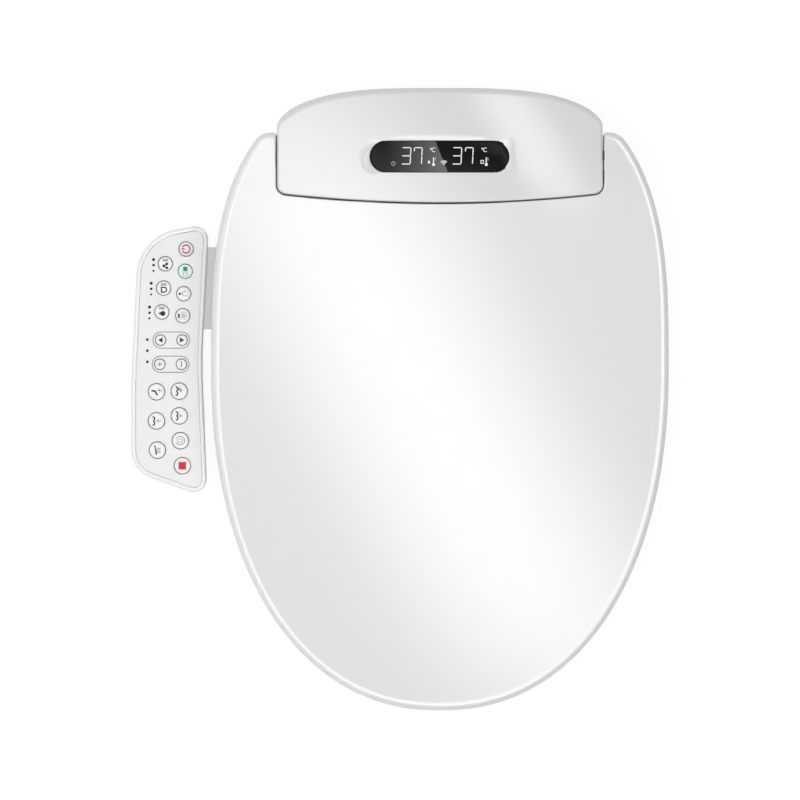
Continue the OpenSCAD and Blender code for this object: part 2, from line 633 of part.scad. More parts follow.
module wand(side) {
    along_wand() difference() {
        union() {
            translate([side * wand_pitch / 2, 0, 0]) {
                rod_y(wand_r, wand_len, 0, 0, wand_r);
                translate([0, wand_r, 0]) sphere(r = wand_r);
            }
            translate([side * (wand_pitch / 2 + rack_pitch_x), 0, 0]) mirror([side < 0 ? 1 : 0, 0, 0]) {
                translate([0, 0, -1.8]) linear_extrude(3.6) polygon(rack_points(rack_y0, rack_count));
                box([-tooth_in - 2.2, rack_y0, -1.8], [-tooth_in - 1.2 + eps, rack_y0 + gear_pitch_step * rack_count, 1.8]);
            }
        }
        for (i = [0 : 2]) translate([side * wand_pitch / 2, 7 + 2.4 * i, 0]) cylinder(r = 0.6, h = wand_r + 1);
    }
}
module rear_wand() color(white) wand(-1);
module front_wand() color(white) wand(1);

// Half angle of a tooth at radius r, by the involute of the base circle
gear_base_r = gear_pitch_r * cos(20);
function involute(r) = let (a = acos(min(1, gear_base_r / r))) tan(a) * 180 / PI - a;
function tooth_angle(r) = 90 / gear_teeth - 0.9 + involute(gear_pitch_r) - involute(max(r, gear_base_r));
gear_radii = [gear_pitch_r - tooth_in, gear_base_r, gear_pitch_r, gear_pitch_r + tooth_out];
function gear_points() = [for (i = [0 : gear_teeth - 1]) let (mid = i * 360 / gear_teeth)
    each concat([for (r = gear_radii) r * [cos(mid - tooth_angle(r)), sin(mid - tooth_angle(r))]],
        [for (k = [3 : -1 : 0]) let (r = gear_radii[k]) r * [cos(mid + tooth_angle(r)), sin(mid + tooth_angle(r))]])];

module gear(side) along_wand() translate([side * gear_x, gear_y, -gear_w / 2]) difference() {
    rotate(180 / gear_teeth * (gear_teeth % 2) * (side > 0 ? 1 : 0)) linear_extrude(gear_w) polygon(gear_points());
    translate([0, 0, -1]) cylinder(r = 1.55, h = gear_w + 2);
}
module rear_gear() color(grey) gear(-1);
module front_gear() color(grey) gear(1);

cradle_z = -wand_r - 2.2;
function cradle_under(y) = tip_z + (tip_front + y) * nose_slope + cradle_z / cos(wand_tilt);
module wand_motors() color(dark) along_wand() for (side = [-1, 1]) translate([side * gear_x, gear_y, 0]) {
    translate([0, 0, cradle_z - 10]) cylinder(r = motor_r, h = 10);
    translate([0, 0, cradle_z - eps]) cylinder(r = 1.5, h = gear_w / 2 - cradle_z + 0.8);
}

module nozzle_cradle() color(grey) difference() {
    union() {
        along_wand() {
            box([-17.5, 4, cradle_z], [17.5, wand_len + 5, cradle_z + 1.6]);
            box([-gear_x - 9, gear_y - 17, cradle_z], [gear_x + 9, gear_y + 10, cradle_z + 1.6]);
            for (y = [[6, 16], [34, 43]]) box([-17.5, y[0], cradle_z], [17.5, y[1], wand_r + 1.7]);
            box([-17.5, wand_len + 1, cradle_z], [17.5, wand_len + 5, wand_r]);
        }
        both_sides() box([leg_x, -56, floor_z], [leg_x + leg_w, -52, cradle_under(-56) + 0.8]);
        for (x = [-17, 12.5]) box([x, 10, tongue_h + floor_z], [x + 4.5, 14, cradle_under(10) + 0.8]);
    }
    along_wand() for (side = [-1, 1]) {
        rod_y(0, wand_len + 0.6, side * wand_pitch / 2, 0, guide_r);
        for (y = [[5, 17], [33, 44]]) box([side > 0 ? wand_pitch / 2 + wand_r - 1 : -18, y[0], -2.2],
            [side > 0 ? 18 : -wand_pitch / 2 - wand_r + 1, y[1], 2.2]);
        translate([side * gear_x, gear_y, cradle_z - 1]) cylinder(r = 2, h = 4);
    }
}

// ---- hinge ----
module damper() union() {
    rod_x(case_in_x - 36, case_in_x - 0.3, hinge_y, hinge_z, damper_r);
    rod_x(case_in_x - 0.4, pin_end, hinge_y, hinge_z, pin_r);
}
module seat_damper() color(dark) mirror([1, 0, 0]) damper();
module lid_damper() color(dark) damper();

// ---- small pieces of the case ----
module cable_gland() color(dark) difference() {
    union() {
        rod_y(56.5, 61.9, gland_x, gland_z, gland_bore_r + 3);
        rod_y(46, 56.5 + eps, gland_x, gland_z, gland_bore_r + 4.3);
    }
    rod_y(48, 63, gland_x, gland_z, gland_bore_r);
}

module night_light() color("#e8eef2") box([-duct_x - 5.7, -nose_front + 0.2, floor_z + 3.3],
    [-duct_x + 5.7, -nose_front + case_wall + 1.5, floor_z + 8.7]);

module case_screws() color("#8e9094") for (p = post_places) {
    rod_z(case_z + 3 - 2.4, case_z + 3, p.x, p.y, screw_head_r);
    rod_z(case_z + 3 - eps, parting_z + 14, p.x, p.y, screw_r);
}

module release_button() color(grey) union() {
    box([case_in_x + 0.4, -16, 10], [case_half_w + 2, -6, 20]);
    box([106.5, -13, 13], [case_in_x + 0.5, -9, 17]);
}

// ---- seat ring ----
arm_profile = [[-seat_rear - 6, seat_under_z + 10], [-seat_rear - 6, seat_top_z - 2.5],
    [hinge_y - 4, hinge_z + arm_boss_r - 0.7], [hinge_y + 6, hinge_z + arm_boss_r - 3],
    [hinge_y + 8, hinge_z], [hinge_y - 6, hinge_z - arm_boss_r + 1.7]];
function relief_z(y) = nose_z(y) + 2.3;
relief_out = -nose_front - (relief_z(-nose_front) - seat_under_z) / nose_slope;
module nose_relief(grow) side_prism([[relief_out - grow * 1.7, seat_under_z - 5],
    [relief_out - grow * 1.7, seat_under_z], [-20, relief_z(-20) + grow * 1.15], [-20, seat_under_z - 5]],
    -nose_w / 2 - 2 - grow, nose_w / 2 + 2 + grow);

module seat_top() color(white) difference() {
    union() {
        difference() {
            intersection() {
                prism(lid_outline(seat_inset), seat_under_z, seat_top_z + 5);
                below_seat(0);
            }
            difference() {
                intersection() {
                    prism(lid_outline(ring_in), seat_under_z - 1, seat_top_z + 5);
                    below_seat(-seat_wall);
                    box([-220, -500, 0], [220, -seat_rear - seat_wall, 120]);
                }
                prism(hole_outline(seat_wall), 0, 120);
                nose_relief(seat_wall);
            }
            prism(hole_outline(0), 0, 120);
            nose_relief(0);
            box([-220, -seat_rear, 0], [220, 120, 120]);
        }
        both_sides() {
            side_prism(arm_profile, arm_x0, arm_x1);
            rod_x(arm_x0, arm_x1, hinge_y, hinge_z, arm_boss_r);
        }
    }
    both_sides() rod_x(arm_x0 - 1, arm_x1 + 1, hinge_y, hinge_z, pin_bore_r);
}

module seat_bottom() color(white) difference() {
    prism(lid_outline(ring_in + 0.3), seat_under_z, seat_under_z + 2.5);
    prism(hole_outline(seat_wall + 0.3), 0, 120);
    nose_relief(seat_wall + 0.3);
    box([-220, -seat_rear - seat_wall - 0.3, 0], [220, 120, 120]);
}

module seat_heater() color("#b9a46a") difference() {
    intersection() {
        prism(lid_outline(ring_in + 9), seat_under_z, seat_top_z + 5);
        below_seat(-seat_wall - skin_gap);
    }
    below_seat(-seat_wall - 0.5);
    prism(hole_outline(seat_wall + 9), 0, 120);
    box([-220, -118, 0], [220, 120, 120]);
}

foot_places = [[98, -372], [142, -190]];
module seat_feet() color(dark) both_sides() for (p = foot_places) union() {
    rod_z(0, seat_under_z, p.x, p.y, foot_r);
    rod_z(seat_under_z - 3, seat_under_z, p.x, p.y, foot_r + 2);
}

// ---- lid ----
module lid_shell() color(white) difference() {
    union() {
        difference() {
            intersection() {
                prism(lid_outline(0), 10, crown_top + 5);
                below_lid(0);
            }
            intersection() {
                prism(lid_outline(lid_wall), 0, crown_top + 5);
                box([-220, -500, 0], [220, ear_end - lid_wall, 200]);
                below_lid(-lid_wall);
            }
            below_lid(-lid_skirt);
            box([-220, ear_end, 0], [220, 200, 200]);
        }
        // Hinge blocks inside the ears
        intersection() {
            both_sides() box([ear_x0, hinge_y - 12, hinge_z - 9], [200, hinge_y + 12, 120]);
            prism(lid_outline(1), 10, crown_top + 5);
            below_lid(-1);
        }
    }
    prism(case_outline(seam_gap), 0, 200);
    box([-lid_cut_half, case_side_end, 0], [lid_cut_half, 200, 200]);
    barrel(0, front_arc_x - 2);
    both_sides() rod_x(ear_x0 - 1, pin_end + 0.5, hinge_y, hinge_z, pin_bore_r);
}

buffer_places = [[98, -372], [146, -150]];
module lid_buffers() color(dark) intersection() {
    both_sides() for (p = buffer_places) rod_z(0, 120, p.x, p.y, 6);
    difference() {
        below_lid(-lid_wall - skin_gap);
        below_seat(seat_gap);
    }
}

// ---- side panel ----
arm_end = panel_x - 7;
arm_front = 138;
arm_back = 70;
arm_plan = [[-72, -24], [-72, -52], [-150, -arm_front], [arm_end, -arm_front], [arm_end, -arm_back],
    [-165, -arm_back], [-131, -42], [-131, -20]];
module panel_prism(inset, z0, z1) prism(round_outline(inset_corners(panel_corners, inset)), z0, z1);

module side_arm() color("#d5d6d7") difference() {
    union() {
        prism(arm_plan, arm_under, arm_top);
        difference() {
            box([arm_end, -arm_front, arm_under], [0, -arm_back, riser_top]);
            prism(lid_outline(riser_in), 0, riser_top + 1);
        }
    }
    prism(case_outline(0), 0, arm_top + 1);
    panel_prism(0, 0, riser_top + 1);
}

module panel_base() color(white) union() {
    difference() {
        panel_prism(0, panel_under, panel_part_z);
        panel_prism(panel_wall, panel_under + panel_wall, panel_part_z + 1);
        for (p = panel_screw_places) {
            rod_z(panel_under - 1, panel_under + 3, p.x, p.y, screw_r + 0.3);
            rod_z(panel_under - 1, panel_under + 1, p.x, p.y, screw_head_r);
        }
    }
    for (p = board_rests) rod_z(panel_under + panel_wall - eps, board_z, p.x, p.y, 3);
    for (p = panel_screw_places) difference() {
        rod_z(panel_under + panel_wall - eps, panel_part_z, p.x, p.y, post_r);
        rod_z(panel_under, panel_part_z + 1, p.x, p.y, screw_r + 0.3);
    }
}

module panel_cover() color(white) difference() {
    union() {
        difference() {
            panel_prism(0, panel_part_z, panel_top);
            panel_prism(panel_wall, panel_part_z - 1, panel_top - 0.6 - panel_wall);
            panel_prism(rim_w, panel_top - 0.6, panel_top + 1);
        }
        for (p = panel_screw_places) rod_z(panel_part_z, panel_top - 1, p.x, p.y, post_r);
    }
    for (p = panel_screw_places) rod_z(panel_part_z - 1, panel_part_z + 13, p.x, p.y, screw_r + 0.05);
    for (k = keys) rod_z(panel_part_z + 2, panel_top + 1, k[1].x, k[1].y, k[2] + 0.35);
}

module panel_overlay() color("#e9eaeb") difference() {
    panel_prism(rim_w + 0.15, panel_top - 0.6, panel_top - 0.6 + sheet_t);
    for (k = keys) rod_z(panel_part_z, panel_top + 1, k[1].x, k[1].y, k[2] + 0.35);
}

module key_board() color("#2f6b4a") union() {
    difference() {
        panel_prism(panel_wall + 5, board_z, board_z + 1.6);
        for (p = panel_screw_places) rod_z(board_z - 1, board_z + 3, p.x, p.y, post_r + 1);
    }
    for (k = keys) rod_z(board_z + 1.6 - eps, board_z + 1.6 + switch_h, k[1].x, k[1].y, 1.8);
}

module panel_screws() color("#8e9094") for (p = panel_screw_places) {
    rod_z(panel_under + 0.2, panel_under + 1, p.x, p.y, screw_head_r - 0.2);
    rod_z(panel_under + 1 - eps, panel_part_z + 11, p.x, p.y, screw_r);
}

// A key: cap through the face sheet, flange below the cover, stem above its switch
module key(k) color(white) {
    rod_z(key_flange_top - 1.5, panel_top - 0.6 + sheet_t + key_proud, k[1].x, k[1].y, k[2]);
    rod_z(key_flange_top - 1.5, key_flange_top, k[1].x, k[1].y, k[2] + 1);
    rod_z(board_z + 1.6 + switch_h + key_travel + 0.1, key_flange_top - 1.5 + eps, k[1].x, k[1].y, 2.2);
}

mounting_plate();
lower_case();
rear_cover();
display_lens();
display_board();
main_board();
water_inlet();
inlet_valve();
water_heater();
flow_selector();
inner_hoses();
blower_case();
dryer_duct();
deodoriser_case();
nozzle_cradle();
wand_motors();
seat_damper();
lid_damper();
cable_gland();
night_light();
case_screws();
side_arm();
panel_base();
panel_cover();
panel_overlay();
key_board();
panel_screws();
blower_wheel();
dryer_flap();
deodoriser_filter();
release_button();
rear_wand();
front_wand();
rear_gear();
front_gear();
seat_top();
seat_bottom();
seat_heater();
seat_feet();
lid_shell();
lid_buffers();
for (k = keys) key(k);
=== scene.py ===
from math import atan2, ceil, cos, degrees, hypot, pi, radians, sin, sqrt

import bmesh
import bpy
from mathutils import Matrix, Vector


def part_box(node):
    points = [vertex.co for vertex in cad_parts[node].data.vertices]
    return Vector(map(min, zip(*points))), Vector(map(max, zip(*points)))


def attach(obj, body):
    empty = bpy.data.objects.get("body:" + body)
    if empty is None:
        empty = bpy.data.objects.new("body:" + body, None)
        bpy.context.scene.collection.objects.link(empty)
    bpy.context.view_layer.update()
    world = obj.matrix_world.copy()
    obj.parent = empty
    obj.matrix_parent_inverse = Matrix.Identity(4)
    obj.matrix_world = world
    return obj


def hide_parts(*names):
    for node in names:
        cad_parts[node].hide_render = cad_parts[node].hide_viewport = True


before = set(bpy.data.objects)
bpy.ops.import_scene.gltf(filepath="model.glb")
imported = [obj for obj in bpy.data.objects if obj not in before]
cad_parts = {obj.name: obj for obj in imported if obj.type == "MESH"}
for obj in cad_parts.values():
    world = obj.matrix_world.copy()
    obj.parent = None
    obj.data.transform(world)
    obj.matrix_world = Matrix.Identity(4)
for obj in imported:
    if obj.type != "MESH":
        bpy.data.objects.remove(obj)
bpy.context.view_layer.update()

# ---- View ----
# Straight down on the closed lid from high above, as for a catalogue picture,
# with the front of the seat towards the bottom of the frame.
mm = 0.001
view_centre = (-33.2 * mm, -197 * mm)
view_width = 664 * mm
lid_level = 90 * mm
crown_radius = 2864 * mm
eye_height = 30.0
eye = bpy.data.cameras.new("eye")
eye.lens = eye.sensor_width * (eye_height - lid_level) / view_width
camera = bpy.data.objects.new("camera", eye)
camera.location = (*view_centre, eye_height)
bpy.context.scene.collection.objects.link(camera)
bpy.context.scene.camera = camera
bpy.context.scene.view_settings.view_transform = "Standard"


# ---- Studio ----
# A pale floor, soft light from all round that is a little stronger from the left,
# and an overhead diffuser whose slanting bright strips show in the glossy lid and housing.
class Value:
    """One output of a shader tree. Arithmetic on values adds its Math nodes to the tree."""

    def __init__(self, tree, socket=None):
        self.tree = tree
        self.socket = socket

    def node(self, kind, settings=None, inputs=None, output=0):
        made = self.tree.nodes.new("ShaderNode" + kind)
        for name, setting in (settings or {}).items():
            setattr(made, name, setting)
        for name, value in (inputs or {}).items():
            if isinstance(value, Value):
                self.tree.links.new(value.socket, made.inputs[name])
            else:
                made.inputs[name].default_value = value
        return Value(self.tree, made.outputs[output])

    def math(self, operation, *values):
        return self.node("Math", {"operation": operation}, dict(enumerate(values)))

    def __add__(self, other):
        return self.math("ADD", self, other)

    def __sub__(self, other):
        return self.math("SUBTRACT", self, other)

    def __rsub__(self, other):
        return self.math("SUBTRACT", other, self)

    def __mul__(self, other):
        return self.math("MULTIPLY", self, other)

    def __truediv__(self, other):
        return self.math("DIVIDE", self, other)

    def __pow__(self, other):
        return self.math("POWER", self, other)

    __radd__ = __add__
    __rmul__ = __mul__

    def along(self, axis):
        return self.node("SeparateXYZ", inputs={0: self}, output=axis)

    def noise(self, scale, detail, roughness=0.5):
        return self.node("TexNoise", inputs={
            "Vector": self, "Scale": scale, "Detail": detail, "Roughness": roughness})

    def blend(self, low, high):
        """The colour that lies this far on the way from low to high."""
        ends = [end if isinstance(end, Value) else (*end, 1) for end in (low, high)]
        return self.node("Mix", {"data_type": "RGBA"}, {0: self, 6: ends[0], 7: ends[1]}, output=2)

    def bump(self, strength, distance=0.05 * mm):
        return self.node("Bump", inputs={
            "Height": self, "Strength": strength, "Distance": distance}, output="Normal")

    def show(self, kind="OutputMaterial"):
        """Makes this shader the one that the tree shows."""
        output = self.tree.nodes.new("ShaderNode" + kind)
        self.tree.links.new(self.socket, output.inputs["Surface"])


def shader_tree(owner):
    """Empties the shader tree of a material or world, and returns it."""
    owner.use_nodes = True
    owner.node_tree.nodes.clear()
    return Value(owner.node_tree)


def material_at(name):
    """A new material, and the place on its object as the first value of its shader tree."""
    material = bpy.data.materials.new(name)
    return material, shader_tree(material).node("TexCoord", output="Object")


def seen_directly(tree):
    """1 where the eye, a mirror or clear glass looks at the surface, and 0 where it only gives light."""
    seen = [tree.node("LightPath", output=f"Is {ray} Ray") for ray in ("Camera", "Glossy", "Transmission")]
    return tree.math("MAXIMUM", seen[0], tree.math("MAXIMUM", seen[1], seen[2]))


def level_plane(name, size, place):
    bpy.ops.mesh.primitive_plane_add(size=size, location=place)
    bpy.context.object.name = name
    return bpy.context.object


white = (1, 1, 1, 1)
ambient = 0.45
ambient_lean = 0.27
sky = bpy.data.worlds.new("sky")
bpy.context.scene.world = sky
tree = shader_tree(sky)
soft_light = ambient - tree.node("TexCoord", output="Generated").along("X") * ambient_lean
strength = tree.math("MAXIMUM", soft_light, seen_directly(tree))
tree.node("Background", inputs={"Color": white, "Strength": strength}).show("OutputWorld")

floor_size = 30
floor_level = -0.2 * mm
floor_tone = 0.96
floor_glow = 1.05
shadow_left = 0.12
floor = level_plane("floor", floor_size, (*view_centre, floor_level))
floor_white = bpy.data.materials.new("floor_white")
tree = shader_tree(floor_white)
painted = tree.node("BsdfDiffuse", inputs={"Color": (floor_tone, floor_tone, floor_tone, 1)})
glowing = tree.node("Emission", inputs={"Color": white, "Strength": floor_glow})
tree.node("MixShader", inputs={0: seen_directly(tree) * (1 - shadow_left), 1: painted, 2: glowing}).show()
floor.data.materials.append(floor_white)

diffuser_place = (0, -0.2, 2.2)
diffuser_size = 3.4
diffuser = level_plane("diffuser", diffuser_size, diffuser_place)
bpy.ops.object.transform_apply(location=True)
diffuser.visible_camera = False
diffuser_glow, place = material_at("diffuser_glow")
spread = 1 + 2 * (diffuser_place[2] - lid_level) / crown_radius
card_x = place.along("X") / spread
card_y = place.along("Y") / spread


def hump(distance, half_width, sharpness=2):
    """1 on a line, falling softly to 0 at half_width on either side."""
    away = place.math("MINIMUM", place.math("ABSOLUTE", distance) / half_width, 1)
    return (1 - away ** sharpness) ** 2


def slanting(lean, offset, half_width, middle, half_length, end_sharpness):
    """A strip that crosses the diffuser at a slant and fades softly on all sides."""
    return hump(card_x + lean * card_y + offset, half_width) * hump(
        card_y - middle, half_length, end_sharpness)


base_glow = 1.05
housing_dimming = 0.7
strip_glow = 6.0
side_strip_glow = 5.5
strip = slanting(lean=0.524, offset=0.119, half_width=0.176, middle=-0.2, half_length=0.33, end_sharpness=6)
side_strip = slanting(lean=0.64, offset=-0.089, half_width=0.042, middle=0.02, half_length=0.07,
                      end_sharpness=4)
over_housing = hump(card_x, half_width=0.22, sharpness=8) * hump(card_y - 0.03, half_width=0.07, sharpness=6)
glow = base_glow - over_housing * housing_dimming + strip * strip_glow + side_strip * side_strip_glow
place.node("Emission", inputs={"Color": white, "Strength": glow}).show()
diffuser.data.materials.append(diffuser_glow)


# ---- Lid ----
# One moulding of glossy white plastic: a shallow crowned plate with a raised rounded
# rim, a skirt round the outside and a notch at the back that fits round the housing.
crown_top = 98.5 * mm
crown_back = 10 * mm


def crown(x, y):
    """Height of the crown that the lid and the housing share."""
    return crown_top - crown_radius + sqrt(crown_radius ** 2 - x * x - (y - crown_back) ** 2)


def rounded_square(half_x, half_y, power_x, power_y, start, end, count=400):
    """Points along a stretch of an oval that is squarer than an ellipse."""
    angles = [radians(start + (end - start) * i / count) for i in range(count + 1)]
    return [(half_x * abs(cos(a)) ** (2 / power_x) * (1 if cos(a) > 0 else -1),
             half_y * abs(sin(a)) ** (2 / power_y) * (1 if sin(a) > 0 else -1)) for a in angles]


def moved(points, dx, dy):
    return [(x + dx, y + dy) for x, y in points]


def arc(centre, radius, start, end, count=8):
    angles = [radians(start + (end - start) * i / count) for i in range(count + 1)]
    return [(centre[0] + radius * cos(a), centre[1] + radius * sin(a)) for a in angles]


def eased_corner(before, corner, after, count=8):
    """A rounded corner, drawn from before to after and leaning towards the corner."""
    points = []
    for i in range(count + 1):
        t = i / count
        points.append(tuple((1 - t) ** 2 * before[k] + 2 * t * (1 - t) * corner[k] + t * t * after[k]
                            for k in (0, 1)))
    return points


def evenly(points, step):
    """The same open line with its points a step apart."""
    lengths = [hypot(b[0] - a[0], b[1] - a[1]) for a, b in zip(points, points[1:])]
    count = max(1, round(sum(lengths) / step))
    result = [points[0]]
    walked, leg = 0.0, 0
    for i in range(1, count):
        target = sum(lengths) * i / count
        while walked + lengths[leg] < target:
            walked += lengths[leg]
            leg += 1
        t = (target - walked) / lengths[leg]
        result.append(tuple(points[leg][k] + t * (points[leg + 1][k] - points[leg][k]) for k in (0, 1)))
    return result + [points[-1]]


lid_half_width = 190 * mm
lid_widest = -169 * mm
lid_back = 240.5 * mm
lid_front = 286 * mm
lid_back_power = 3
lid_front_power = 2.2
ear_end = 25 * mm
seam = 1.4 * mm
case_half_width = 135.2 * mm
case_front = -33 * mm
case_bow = 1174 * mm
case_corner = 7.5 * mm
case_side_end = 30.5 * mm


def lid_rim(inset):
    """The lid's outer edge from the right ear clockwise round the front to the left ear."""
    half = lid_half_width - inset
    back = moved(rounded_square(half, lid_back - inset, lid_back_power, lid_back_power, 0, 90), 0, lid_widest)
    front = rounded_square(half, lid_front - inset, lid_front_power, lid_front_power, 0, -90)
    front = moved(front, 0, lid_widest)
    back = [p for p in back if p[1] < ear_end - inset]
    right = back[::-1] + front[1:]
    return right + [(-x, y) for x, y in right[-2::-1]]


def case_front_line(grow):
    """The housing's front and sides from the right side clockwise to the left, a little larger."""
    arc_x = case_half_width - case_corner
    corner_y = case_front + case_bow - sqrt(case_bow ** 2 - arc_x ** 2)
    right = arc((arc_x, corner_y + case_corner), case_corner + grow, 0, -84)
    for i in range(1, 40):
        x = arc_x * (1 - i / 40)
        right.append((x, case_front - grow + case_bow - sqrt(case_bow ** 2 - x * x)))
    return right + [(-x, y) for x, y in right[-2::-1]]


ear_ease = 8 * mm
ear_step = 9 * mm
notch_x = case_half_width + seam
rim = lid_rim(0)
ear_corner = (rim[0][0], ear_end)
rim = [p for p in rim if hypot(abs(p[0]) - ear_corner[0], p[1] - ear_corner[1]) > ear_ease]
right_ear = eased_corner((ear_corner[0] - ear_ease, ear_end), ear_corner, rim[0])
left_ear = [(-x, y) for x, y in right_ear[::-1]]
outer_line = [(notch_x, ear_end), *right_ear, *rim[1:-1], *left_ear, (-notch_x, ear_end)]
outer_line = evenly(outer_line, 3 * mm)
notch_line = [(notch_x, ear_end - ear_step), *case_front_line(seam), (-notch_x, ear_end - ear_step)]
notch_line = evenly(notch_line[::-1], 2.5 * mm)


def inward(points, closed=True):
    """The way inwards at each point of a clockwise outline, longer at corners to keep an even depth."""
    result = []
    for i, (x, y) in enumerate(points):
        before = points[i - 1] if closed or i else points[i]
        after = points[(i + 1) % len(points)] if closed or i + 1 < len(points) else points[i]
        sides = []
        for a, b in ((before, (x, y)), ((x, y), after)):
            length = hypot(b[0] - a[0], b[1] - a[1])
            if length > 0:
                sides.append(((b[1] - a[1]) / length, (a[0] - b[0]) / length))
        first, last = sides[0], sides[-1]
        share = 1 + first[0] * last[0] + first[1] * last[1]
        result.append(((first[0] + last[0]) / share, (first[1] + last[1]) / share))
    return result


def lifted(line, height):
    return [(x, y, height(x, y)) for x, y in line]


def below(surface, depth):
    return lambda x, y: surface(x, y) - depth


def inset_line(line, directions, depth):
    """The same line moved inwards. The depth may be a number or change with the place along y."""
    reach = depth if callable(depth) else lambda y: depth
    return [(x + dx * reach(y), y + dy * reach(y)) for (x, y), (dx, dy) in zip(line, directions)]


def place_lid(outer_depth, outer_drop, notch_depth, notch_drop):
    """One ring of the lid: so far inside its outer edge and its notch, and so far below the crown."""
    outer_in = inward(outer_line, closed=False)
    outer_in[0] = (notch_depth / max(outer_depth, 1e-9), -1)
    outer_in[-1] = (-notch_depth / max(outer_depth, 1e-9), -1)
    notch_in = inward(notch_line, closed=False)
    outer = lifted(inset_line(outer_line, outer_in, outer_depth), below(crown, outer_drop))
    return outer + lifted(inset_line(notch_line, notch_in, notch_depth), below(crown, notch_drop))


face_dip = 0.34 * mm
edge_round = 0.7 * mm
rim_round = (3.8 * mm, 5.0 * mm)
rim_power = 1.65


def soft_edge(width, height, power=2, count=8):
    """How far inside and below the top an edge lies as it turns from its side to its top."""
    pairs = []
    for i in range(count + 1):
        turn = i / count * pi / 2
        across = cos(turn) ** (2 / power) if i < count else 0
        pairs.append((width * (1 - across), height * (1 - sin(turn) ** (2 / power))))
    return pairs


bead_width = 3.6 * mm
bead_steps = 10
bead_lean = 0.6
lid_wall = 3 * mm
skirt_depth = 19.2 * mm
notch_skirt = 3.0 * mm
lip_inset = 0.6 * mm
rings = [place_lid(lip_inset, skirt_depth + 0.8 * mm, lip_inset, notch_skirt + lip_inset),
         place_lid(0, skirt_depth, 0.2 * mm, notch_skirt)]
for outer, notch in zip(soft_edge(*rim_round, rim_power), soft_edge(edge_round, edge_round)):
    rings.append(place_lid(*outer, notch[0], face_dip + notch[1]))
for i in range(1, bead_steps + 1):
    share = i / bead_steps
    dip = face_dip * (1 - cos(pi * share ** bead_lean)) / 2
    rings.append(place_lid(rim_round[0] + bead_width * share, dip, edge_round + 0.5 * mm * share, face_dip))
rings.append(place_lid(rim_round[0] + bead_width + 0.8 * mm, face_dip, 1.8 * mm, face_dip))


merge_distance = 0.002 * mm
smooth_angle = 35


def only(piece):
    """Makes a piece the one that the next operator works on."""
    bpy.ops.object.select_all(action="DESELECT")
    piece.select_set(True)
    bpy.context.view_layer.objects.active = piece


def edit(piece, select="DESELECT", mode="FACE"):
    """Opens one piece for editing with all or nothing of it selected."""
    if bpy.context.mode != "OBJECT":
        bpy.ops.object.mode_set(mode="OBJECT")
    only(piece)
    bpy.ops.object.mode_set(mode="EDIT")
    bpy.ops.mesh.select_mode(type=mode)
    bpy.ops.mesh.select_all(action=select)


def close(piece):
    bpy.ops.object.mode_set(mode="OBJECT")
    return piece


def lay_selected(piece, ring):
    """Lays the selected corners of the open piece on the spots of a ring."""
    shape = bmesh.from_edit_mesh(piece.data)
    shape.verts.index_update()
    chosen = sorted((v for v in shape.verts if v.select), key=lambda v: v.index)
    for vertex, spot in zip(chosen, ring):
        vertex.co = spot


def lofted(name, rings):
    """A circle with as many corners as the outline, laid on the first ring and extruded from ring to ring."""
    bpy.ops.object.select_all(action="DESELECT")
    bpy.ops.mesh.primitive_circle_add(vertices=len(rings[0]))
    piece = bpy.context.object
    piece.name = piece.data.name = name
    edit(piece, "SELECT", "EDGE")
    for number, ring in enumerate(rings):
        if number:
            bpy.ops.mesh.extrude_edges_move()
        lay_selected(piece, ring)
    bmesh.update_edit_mesh(piece.data)
    return piece


def in_grid(piece, step, height):
    """Fills the last ring with one face, cuts it into squares and lifts their corners to the crown."""
    bpy.ops.mesh.edge_face_add()
    shape = bmesh.from_edit_mesh(piece.data)
    filled = max(shape.faces, key=lambda f: len(f.verts))
    rim_corners = set(filled.verts)
    filled.material_index = 1
    lows = [min(v.co[k] for v in rim_corners) for k in (0, 1)]
    highs = [max(v.co[k] for v in rim_corners) for k in (0, 1)]
    for k in (0, 1):
        for i in range(1, ceil((highs[k] - lows[k]) / step)):
            shape = bmesh.from_edit_mesh(piece.data)
            for face in shape.faces:
                face.select_set(face.material_index == 1)
            spot, normal = [0, 0, 0], [0, 0, 0]
            spot[k], normal[k] = lows[k] + i * step, 1
            bpy.ops.mesh.bisect(plane_co=spot, plane_no=normal)
    shape = bmesh.from_edit_mesh(piece.data)
    for face in shape.faces:
        if face.material_index == 1:
            for vertex in face.verts:
                vertex.co.z = height(vertex.co.x, vertex.co.y)
            face.material_index = 0
    bmesh.update_edit_mesh(piece.data)


def merged(piece):
    """Opens a piece, merges its doubles and makes its normals agree."""
    edit(piece, "SELECT")
    bpy.ops.mesh.remove_doubles(threshold=merge_distance)
    bpy.ops.mesh.normals_make_consistent(inside=False)


def face_outwards(piece):
    """Merges doubles and turns all faces outwards, judged by the highest face."""
    merged(piece)
    shape = bmesh.from_edit_mesh(piece.data)
    highest = max(shape.faces, key=lambda f: f.calc_center_median().z)
    if highest.normal.z <= 0:
        bpy.ops.mesh.flip_normals()
    return close(piece)


def finished(piece, body, slot, material, *nodes):
    """Smooths a piece, gives it its finish and body, and hides the CAD nodes that it stands for."""
    only(piece)
    bpy.ops.object.shade_smooth_by_angle(angle=radians(smooth_angle))
    piece.data.materials.clear()
    piece.data.materials.append(material)
    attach(piece, body)
    if nodes:
        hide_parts(*nodes)


def modified(piece, kind, **settings):
    """Adds one modifier and applies it."""
    only(piece)
    modifier = piece.modifiers.new(kind.lower(), kind)
    for name, setting in settings.items():
        setattr(modifier, name, setting)
    bpy.ops.object.modifier_apply(modifier=modifier.name)


crown_step = 14 * mm
lid = lofted("lid", rings)
in_grid(lid, crown_step, below(crown, face_dip))
face_outwards(lid)
modified(lid, "SOLIDIFY", thickness=lid_wall, offset=-1)


def shaded(colour, share):
    return tuple(part * share for part in colour)


